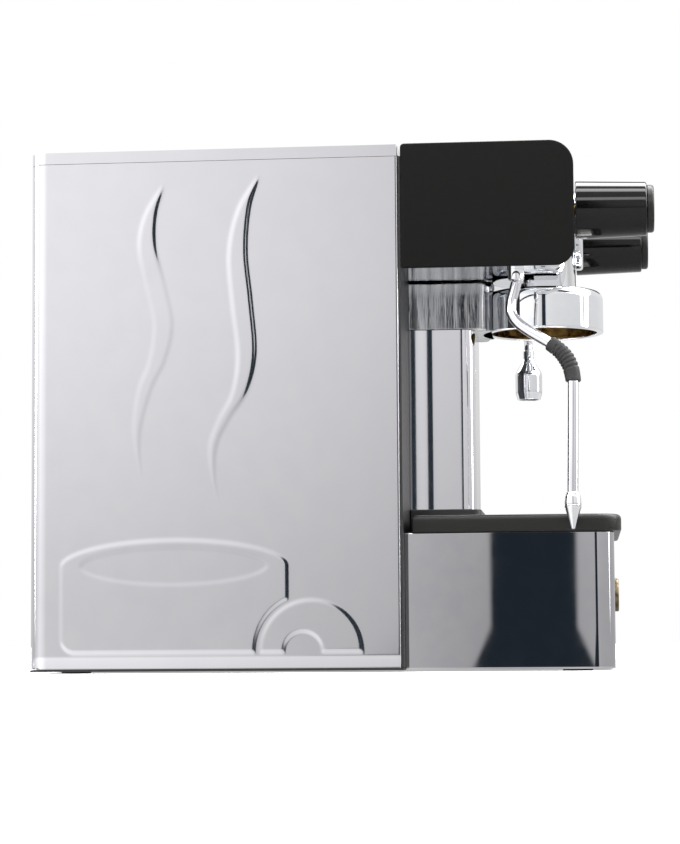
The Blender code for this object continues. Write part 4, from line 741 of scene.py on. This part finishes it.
spots = spots[(away > 0.0068) & (away < 0.0212)]
round_trip = np.linspace(0, 2 * np.pi, 10, endpoint=False)
ring = np.stack((np.cos(round_trip), np.sin(round_trip)), -1) * shade_disc_r
discs = np.concatenate([np.concatenate((spots[:, None] + ring[None] + (0, bell_y),
                                        np.full((len(spots), 10, 1), level)), -1)
                        for level in (plate - 0.00215, plate - 0.0019)], 1)
turns = np.arange(10)
walls = np.stack((turns, (turns + 1) % 10, (turns + 1) % 10 + 10, turns + 10), -1)
base = 20 * np.arange(len(spots))[:, None, None]
faces = (walls[None] + base).reshape(-1, 4).tolist()
faces += (turns[None] + base[:, 0]).tolist() + (turns[None, ::-1] + 10 + base[:, 0]).tolist()
mesh = bpy.data.meshes.new("shower_hole_painted_shade")
mesh.from_pydata(discs.reshape(-1, 3).tolist(), [], faces)
mesh.materials.append(paint)
outward(mesh, 38)
place(linked("shower_hole_painted_shade", mesh), "machine", "black steel")

# The same chrome over the neck's unground casting skin, which keeps the mould's draw lines.
cast, tree, shader = new_material("chrome plate over brass casting", "#A6A7AA", 0.16, 1.0)
drawn = grain(tree, 0.007, 3.0, (1.0, 1.0, 0.10))
vary(tree, shader, drawn, "#8E8F92", "#BDBEC1", 0.10, 0.24)
emboss(tree, shader, drawn, 0.0007)
low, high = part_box("group_neck")
rear = high.y
NECK_HALF, FLARE, FLARE_LENGTH, TOE = 0.0430, 0.0011, 0.0180, 0.0005


def flared(half, length, rear_y, count=24):
    """(x, y) down one flank towards the bulkhead: an S-curve outwards, half a cosine wave over the length."""
    s = np.linspace(0, 1, count)
    return np.column_stack((half + FLARE * (1 - np.cos(np.pi * s)) / 2, rear_y - length * (1 - s)))


seat = bell_r + 0.0003
angle = np.radians(np.linspace(90, 58, 16))
arc_side = np.column_stack((seat * np.cos(angle), bell_y + seat * np.sin(angle)))
nose = rounded_path([tuple(arc_side[-1]), (0.0290, bell_y + seat * np.sin(angle[-1]) + 0.0035),
                     (0.0300, -0.1040), (NECK_HALF, -0.1040), (NECK_HALF, -0.0920)],
                    [0, 0.001, 0.002, 0.006, 0], steps=8)
side = np.vstack((arc_side[1:], nose[1:], flared(NECK_HALF, FLARE_LENGTH, rear)))
outline = np.vstack((side, (side * (-1, 1))[::-1], arc_side[:1]))
WAVE, WAVE_LENGTH = 0.00010, 0.010
swell = WAVE * np.sin(2 * np.pi * (outline[:, 1] - rear) / WAVE_LENGTH)
outline[:, 0] += np.where(np.abs(outline[:, 0]) > NECK_HALF - 1e-4, swell * np.sign(outline[:, 0]), 0)
place(raised("group_neck_cast", outline, edged(low.z, high.z, 0.0010), "Z", cast), "machine", "chrome",
      "group_neck")


# ---- Column and pedestal
# The column is one bright stainless sheet folded round the feed pipe, flaring where it is welded to the
# bulkhead. It stands on a black pedestal that rises through the drip tray's notch.

def sheet_outline(path, thickness):
    """The closed outline of a bent sheet: its outer path, then the same path drawn in by its thickness."""
    run = np.gradient(path, axis=0)
    normal = np.stack((run[:, 1], -run[:, 0]), -1) / np.linalg.norm(run, axis=1)[:, None]
    return np.vstack((path, (path - normal * thickness)[::-1]))


low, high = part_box("column")
corner = rounded_path([(0, low.y), (NECK_HALF + TOE, low.y), (NECK_HALF, high.y - FLARE_LENGTH)],
                      [0, 0.010, 0],
                      steps=16)
side = np.vstack((refine(corner[1:], 0.002)[:-1], flared(NECK_HALF, FLARE_LENGTH, high.y)))
path = np.vstack(((side * (-1, 1))[::-1], side))
place(raised("column_folded", sheet_outline(path, SHEET), [(low.z, 0), (high.z, 0)], "Z", steel), "machine",
      "steel",
      "column")
rounded_copy("pedestal", "machine", "black steel", paint, 0.0)


# ---- Base
# A mirror-polished stainless housing, folded round the floor pan, with sides that bulge slightly and a
# hem along the bottom. A blank bronze disc is riveted to its front.

low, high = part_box("base_housing")
BASE_HALF, BASE_CORNER, BASE_TOP, BOW = 0.1065, 0.013, 0.1008, 0.0017
s = np.linspace(0, 1, 60)
flank_y = low.y + BASE_CORNER + (high.y - low.y - BASE_CORNER) * s
flank = np.column_stack((BASE_HALF + BOW * 4 * s * (1 - s), flank_y))
bend = rounded_path([(BASE_HALF - BASE_CORNER * 1.5, low.y), (BASE_HALF, low.y),
                     tuple(flank[0] + (0, 0.001))],
                    [0, BASE_CORNER - 0.0002, 0], steps=20)[1:-1]
side = np.vstack((bend, flank))
path = np.vstack(((side * (-1, 1))[::-1], side))

# Stainless steel 304, buffed to a mirror: sharper than the casing's sides.
mirror, tree, shader = new_material("stainless steel, mirror buffed", "#C2C1C5", 0.03, 1.0)
vary(tree, shader, grain(tree, 0.015, 4.0), "#C0BFC4", "#C4C3C6", 0.022, 0.034)
emboss(tree, shader, grain(tree, 0.090, 0.0), 0.000012)
housing = raised("base_housing_folded", sheet_outline(path, SHEET),
                 [(low.z, 0.0004), (low.z + 0.0004, 0.0001),
                 (low.z + 0.0010, 0), (low.z + 0.0016, 0), (BASE_TOP - 0.0009, 0), (BASE_TOP - 0.0003, 0),
                 (BASE_TOP, 0.0002)], "Z", mirror)
place(housing, "machine", "steel", "base_housing")
bronze, tree, shader = new_material("bronze, struck and oxidised", "#6E6450", 0.42, 1.0)
tarnish = grain(tree, 0.003, 5.0)
vary(tree, shader, tarnish, "#564D3B", "#85795F", 0.34, 0.52)
emboss(tree, shader, tarnish, 0.00005)
low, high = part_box("front_badge")
disc = rounded_path([(0, low.y + 0.0006), (0.0098, low.y + 0.0006), (0.0102, low.y), (0.0126, low.y),
                     (0.0126, high.y), (0, high.y)], [0, 0.0004, 0.0004, 0.0010, 0.0003, 0], steps=5)
place(lathe("front_badge_struck", disc, (0, 0, (low.z + high.z) / 2), "Y", bronze, 80), "machine", "bronze",
      "front_badge")


# ---- Drip tray
# Injection-moulded ABS: a deep basin inside the base, and a thick rounded rim that sits on it, with a
# notch at the back round the pedestal and a ledge for the grid.

low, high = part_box("drip_tray")
pedestal_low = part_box("pedestal")[0]
RIM, TRAY_CORNER, TRAY_WALL, LEDGE = 0.0123, 0.018, 0.0022, 0.0032
basin = high.x - BASE_HALF + SHEET + 0.0010


def tray_plan(inset, notch):
    """The tray's outline drawn in by inset, with its notch pushed out by notch.

    It always has the same count of points.
    """
    x, front, rear = high.x - inset, low.y + inset, high.y - inset
    corner = max(TRAY_CORNER - inset, 0.002)
    bay_x, bay_y = -pedestal_low.x + 0.0010 + notch, pedestal_low.y - 0.0010 - notch
    half = rounded_path([(0, front), (x, front), (x, rear), (bay_x, rear), (bay_x, bay_y), (0, bay_y)],
                        [0, corner, 0.002, 0.0008, 0.003, 0], steps=12)[1:-1]
    return np.vstack((half, (half * (-1, 1))[::-1]))


rim_low = high.z - RIM
turn_out = np.radians(np.linspace(0, 90, 7))
ROUND = 0.0036
steps = ([(low.z, basin + 0.001, 0), (low.z + 0.001, basin, 0), (rim_low, basin, 0), (rim_low, 0.0012, 0),
          (rim_low + 0.0004, 0.0004, 0), (rim_low + 0.0012, 0.0, 0)]
         + [(high.z - ROUND + ROUND * np.sin(t), ROUND * (1 - np.cos(t)), ROUND * (1 - np.cos(t)) * 0.2)
            for t in turn_out]
         + [(high.z, basin + TRAY_WALL - 0.0026, TRAY_WALL - 0.0016),
            (high.z - 0.0006, basin + TRAY_WALL - 0.0018, TRAY_WALL - 0.0012),
            (high.z - LEDGE, basin + TRAY_WALL - 0.0018, TRAY_WALL - 0.0012),
            (high.z - LEDGE, basin + TRAY_WALL, TRAY_WALL),
            (low.z + TRAY_WALL, basin + TRAY_WALL, TRAY_WALL)])
rows = [np.column_stack((tray_plan(inset, notch), np.full(len(tray_plan(inset, notch)), level)))
        for level, inset, notch in steps]
place(surface("drip_tray_moulded", np.stack(rows), satin), "tray", "satin black", "drip_tray")


# ---- Steam wand
# A ball-jointed stainless tube bent forward and down, with a ribbed rubber grip where the hand takes it
# and a screwed-on chromed tip.

def tube(name, route, radii, reference, look, sides=40, bore=0.0):
    """A round bar, or with a bore a sleeve, carried along a route, square to its tangent at every point.

    The reference direction, never along the route, sets where each ring of points starts.
    """
    run = np.gradient(route, axis=0)
    run /= np.linalg.norm(run, axis=1)[:, None]
    across = np.cross(run, reference)
    across /= np.linalg.norm(across, axis=1)[:, None]
    other = np.cross(run, across)
    angle = np.linspace(0, 2 * np.pi, sides, endpoint=False)
    spokes = (across[:, None] * np.cos(angle)[None, :, None] + other[:, None] * np.sin(angle)[None, :, None])
    points = route[:, None] + spokes * np.asarray(radii)[:, None, None]
    if bore:
        points = np.concatenate((points, (route[:, None] + spokes * bore)[::-1], points[:1]))
    return surface(name, points, look, lids=not bore)


for node in ("wand_nut", "tap_nut"):
    low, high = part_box(node)
    centre = ((low.x + high.x) / 2, (low.y + high.y) / 2, 0)
    nut = rounded_path([(0.0038, low.z), (0.0058, low.z), (0.0058, high.z), (0.0044, high.z),
                        (0.0044, low.z + 0.0030)], [0.0003, 0.0009, 0, 0, 0.001], closed=True, steps=6)
    place(lathe(node + "_turned", nut, centre, "Z", chrome, 64, ring=True), "machine", "chrome", node)
BALL_R = 0.0040
low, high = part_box("wand_ball")
arc_down = np.linspace(0, np.pi, 24)
ball = np.column_stack((BALL_R * np.sin(arc_down), (low.z + high.z) / 2 + BALL_R * np.cos(arc_down)))
ball[[0, -1], 0] = 0
place(lathe("wand_ball_turned", ball, ((low.x + high.x) / 2, (low.y + high.y) / 2, 0), "Z", chrome, 48),
      "wand_ball", "chrome", "wand_ball")
wand_top = low.z - 0.0003
route = through(((-0.1000, -0.1290, wand_top), (-0.1004, -0.1272, 0.2775), (-0.1014, -0.1252, 0.2700),
                 (-0.1030, -0.1252, 0.2620), (-0.1050, -0.1296, 0.2545), (-0.1070, -0.1375, 0.2480),
                 (-0.1090, -0.1468, 0.2420), (-0.1112, -0.1556, 0.2362), (-0.1130, -0.1627, 0.2295),
                 (-0.1145, -0.1673, 0.2215), (-0.1155, -0.1694, 0.2130), (-0.1165, -0.1697, 0.2050),
                 (-0.1172, -0.1692, 0.1750), (-0.1178, -0.1687, 0.1500), (-0.1180, -0.1683, 0.1290)), 0.0012)
place(tube("wand_tube_bent", route, np.full(len(route), 0.0040), (1.0, 0, 0), steel), "wand", "steel",
      "wand_tube")
held = through(route[(route[:, 2] < 0.2385) & (route[:, 2] > 0.2080)], 0.0003)
s = np.linspace(0, 1, len(held))
GRIP, RIB, RIBS = 0.0062, 0.0007, 7
rib = RIB * (0.5 - 0.5 * np.cos(2 * np.pi * RIBS * (s - 0.15) / 0.60)) ** 2 * ((s > 0.15) & (s < 0.75))
ends = 0.0014 * (1 - np.sqrt(1 - np.clip(1 - np.minimum(s, 1 - s) / 0.03, 0, 1) ** 2))
place(tube("wand_grip_moulded", held, GRIP - 0.0006 * np.abs(s - 0.5) * 2 - rib - ends, (1.0, 0, 0), rubber,
           bore=0.0043), "wand", "rubber", "wand_grip")
low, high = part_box("wand_tip")
tip = rounded_path([(0, high.z), (0.0046, high.z), (0.0056, high.z - 0.0030), (0.0061, high.z - 0.0080),
                    (0.0061, high.z - 0.0092), (0.0058, high.z - 0.0094), (0.0061, high.z - 0.0096),
                    (0.0060, high.z - 0.0112), (0.0012, low.z + 0.0004), (0, low.z)],
                   [0, 0.0008, 0.004, 0.004, 0.0001, 0, 0.0001, 0.003, 0.0006, 0], steps=6)
place(lathe("wand_tip_turned", tip, ((low.x + high.x) / 2, (low.y + high.y) / 2, 0), "Z", chrome, 64), "wand",
      "chrome", "wand_tip")


# ---- Hot-water tap
# A slim stainless tube from its own ball nut to a bottle-shaped chromed nozzle that calms the jet.

low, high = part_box("tap_nozzle")
nozzle_x, nozzle_y, nozzle_top, nozzle_r = (low.x + high.x) / 2, (low.y + high.y) / 2, high.z, 0.0109
bottle = rounded_path([(0, nozzle_top), (0.0044, nozzle_top), (0.0044, nozzle_top - 0.0070),
                       (0.0056, nozzle_top - 0.0100), (nozzle_r, nozzle_top - 0.0180),
                       (nozzle_r, nozzle_top - 0.0198), (nozzle_r - 0.0004, nozzle_top - 0.0201),
                       (nozzle_r, nozzle_top - 0.0204), (nozzle_r - 0.0001, nozzle_top - 0.0345),
                       (nozzle_r - 0.0016, low.z), (0.0079, low.z), (0.0079, low.z + 0.0060),
                       (0, low.z + 0.0060)],
                      [0, 0.0006, 0.004, 0.006, 0.006, 0.0001, 0, 0.0001, 0.008, 0.0009, 0.0004, 0.001, 0],
                      steps=8)
place(lathe("tap_nozzle_turned", bottle, (nozzle_x, nozzle_y, 0), "Z", chrome, 96), "tap", "chrome",
      "tap_nozzle")
low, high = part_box("tap_tube")
tap_x, ball_z = nozzle_x - 0.0140, high.z - BALL_R
route = through(((tap_x, nozzle_y, ball_z), (tap_x, nozzle_y, ball_z - 0.0103),
                 (tap_x + 0.0077, nozzle_y, ball_z - 0.0213), (nozzle_x, nozzle_y, nozzle_top + 0.0063),
                 (nozzle_x, nozzle_y, nozzle_top + 0.0033), (nozzle_x, nozzle_y, nozzle_top + 0.0003)),
                0.0010)
place(tube("tap_tube_bent", route, np.full(len(route), 0.0034), (0, 1.0, 0), steel), "tap", "steel",
      "tap_tube")
ball = np.column_stack((BALL_R * np.sin(arc_down), ball_z + BALL_R * np.cos(arc_down)))
ball[[0, -1], 0] = 0
place(lathe("tap_ball_turned", ball, (tap_x, nozzle_y, 0), "Z", chrome, 48), "tap", "chrome")


# ---- Inside
# Copper boiler and pipes, brass valves and fittings, a black pump and solenoid, and a clear water tank.

copper, tree, shader = new_material("copper, drawn and annealed", "#B4694A", 0.30, 1.0)
bloom = grain(tree, 0.010, 4.0)
vary(tree, shader, bloom, "#96502F", "#C27B58", 0.24, 0.38)
emboss(tree, shader, bloom, 0.00004)
clear, tree, shader = new_material("SAN, moulded clear", "#DCE6E8", 0.1)
shader.inputs["Transmission Weight"].default_value = 0.85
shader.inputs["IOR"].default_value = 1.57
vary(tree, shader, grain(tree, 0.010), "#D8E3E6", "#E2EAEB", 0.08, 0.14)
hose, tree, shader = new_material("silicone, extruded", "#C9C8C2", 0.4)
vary(tree, shader, grain(tree, 0.002), "#C2C1BB", "#CFCEC9", 0.35, 0.48)
INNER = {"foot_rear_left": rubber, "foot_rear_right": rubber, "foot_front_left": rubber,
         "foot_front_right": rubber, "valve_steam": brass, "valve_water": brass, "stem_steam": brass,
         "stem_water": brass, "boiler": copper, "heating_element": brass, "brew_solenoid": paint,
         "pump": paint,
         "pipe_group": copper, "pipe_steam": copper, "pipe_water": copper, "pipe_feed": copper,
         "pipe_tank": hose,
         "water_tank": clear, "power_inlet": satin}
for node, look in INNER.items():
    refinish(node, look)
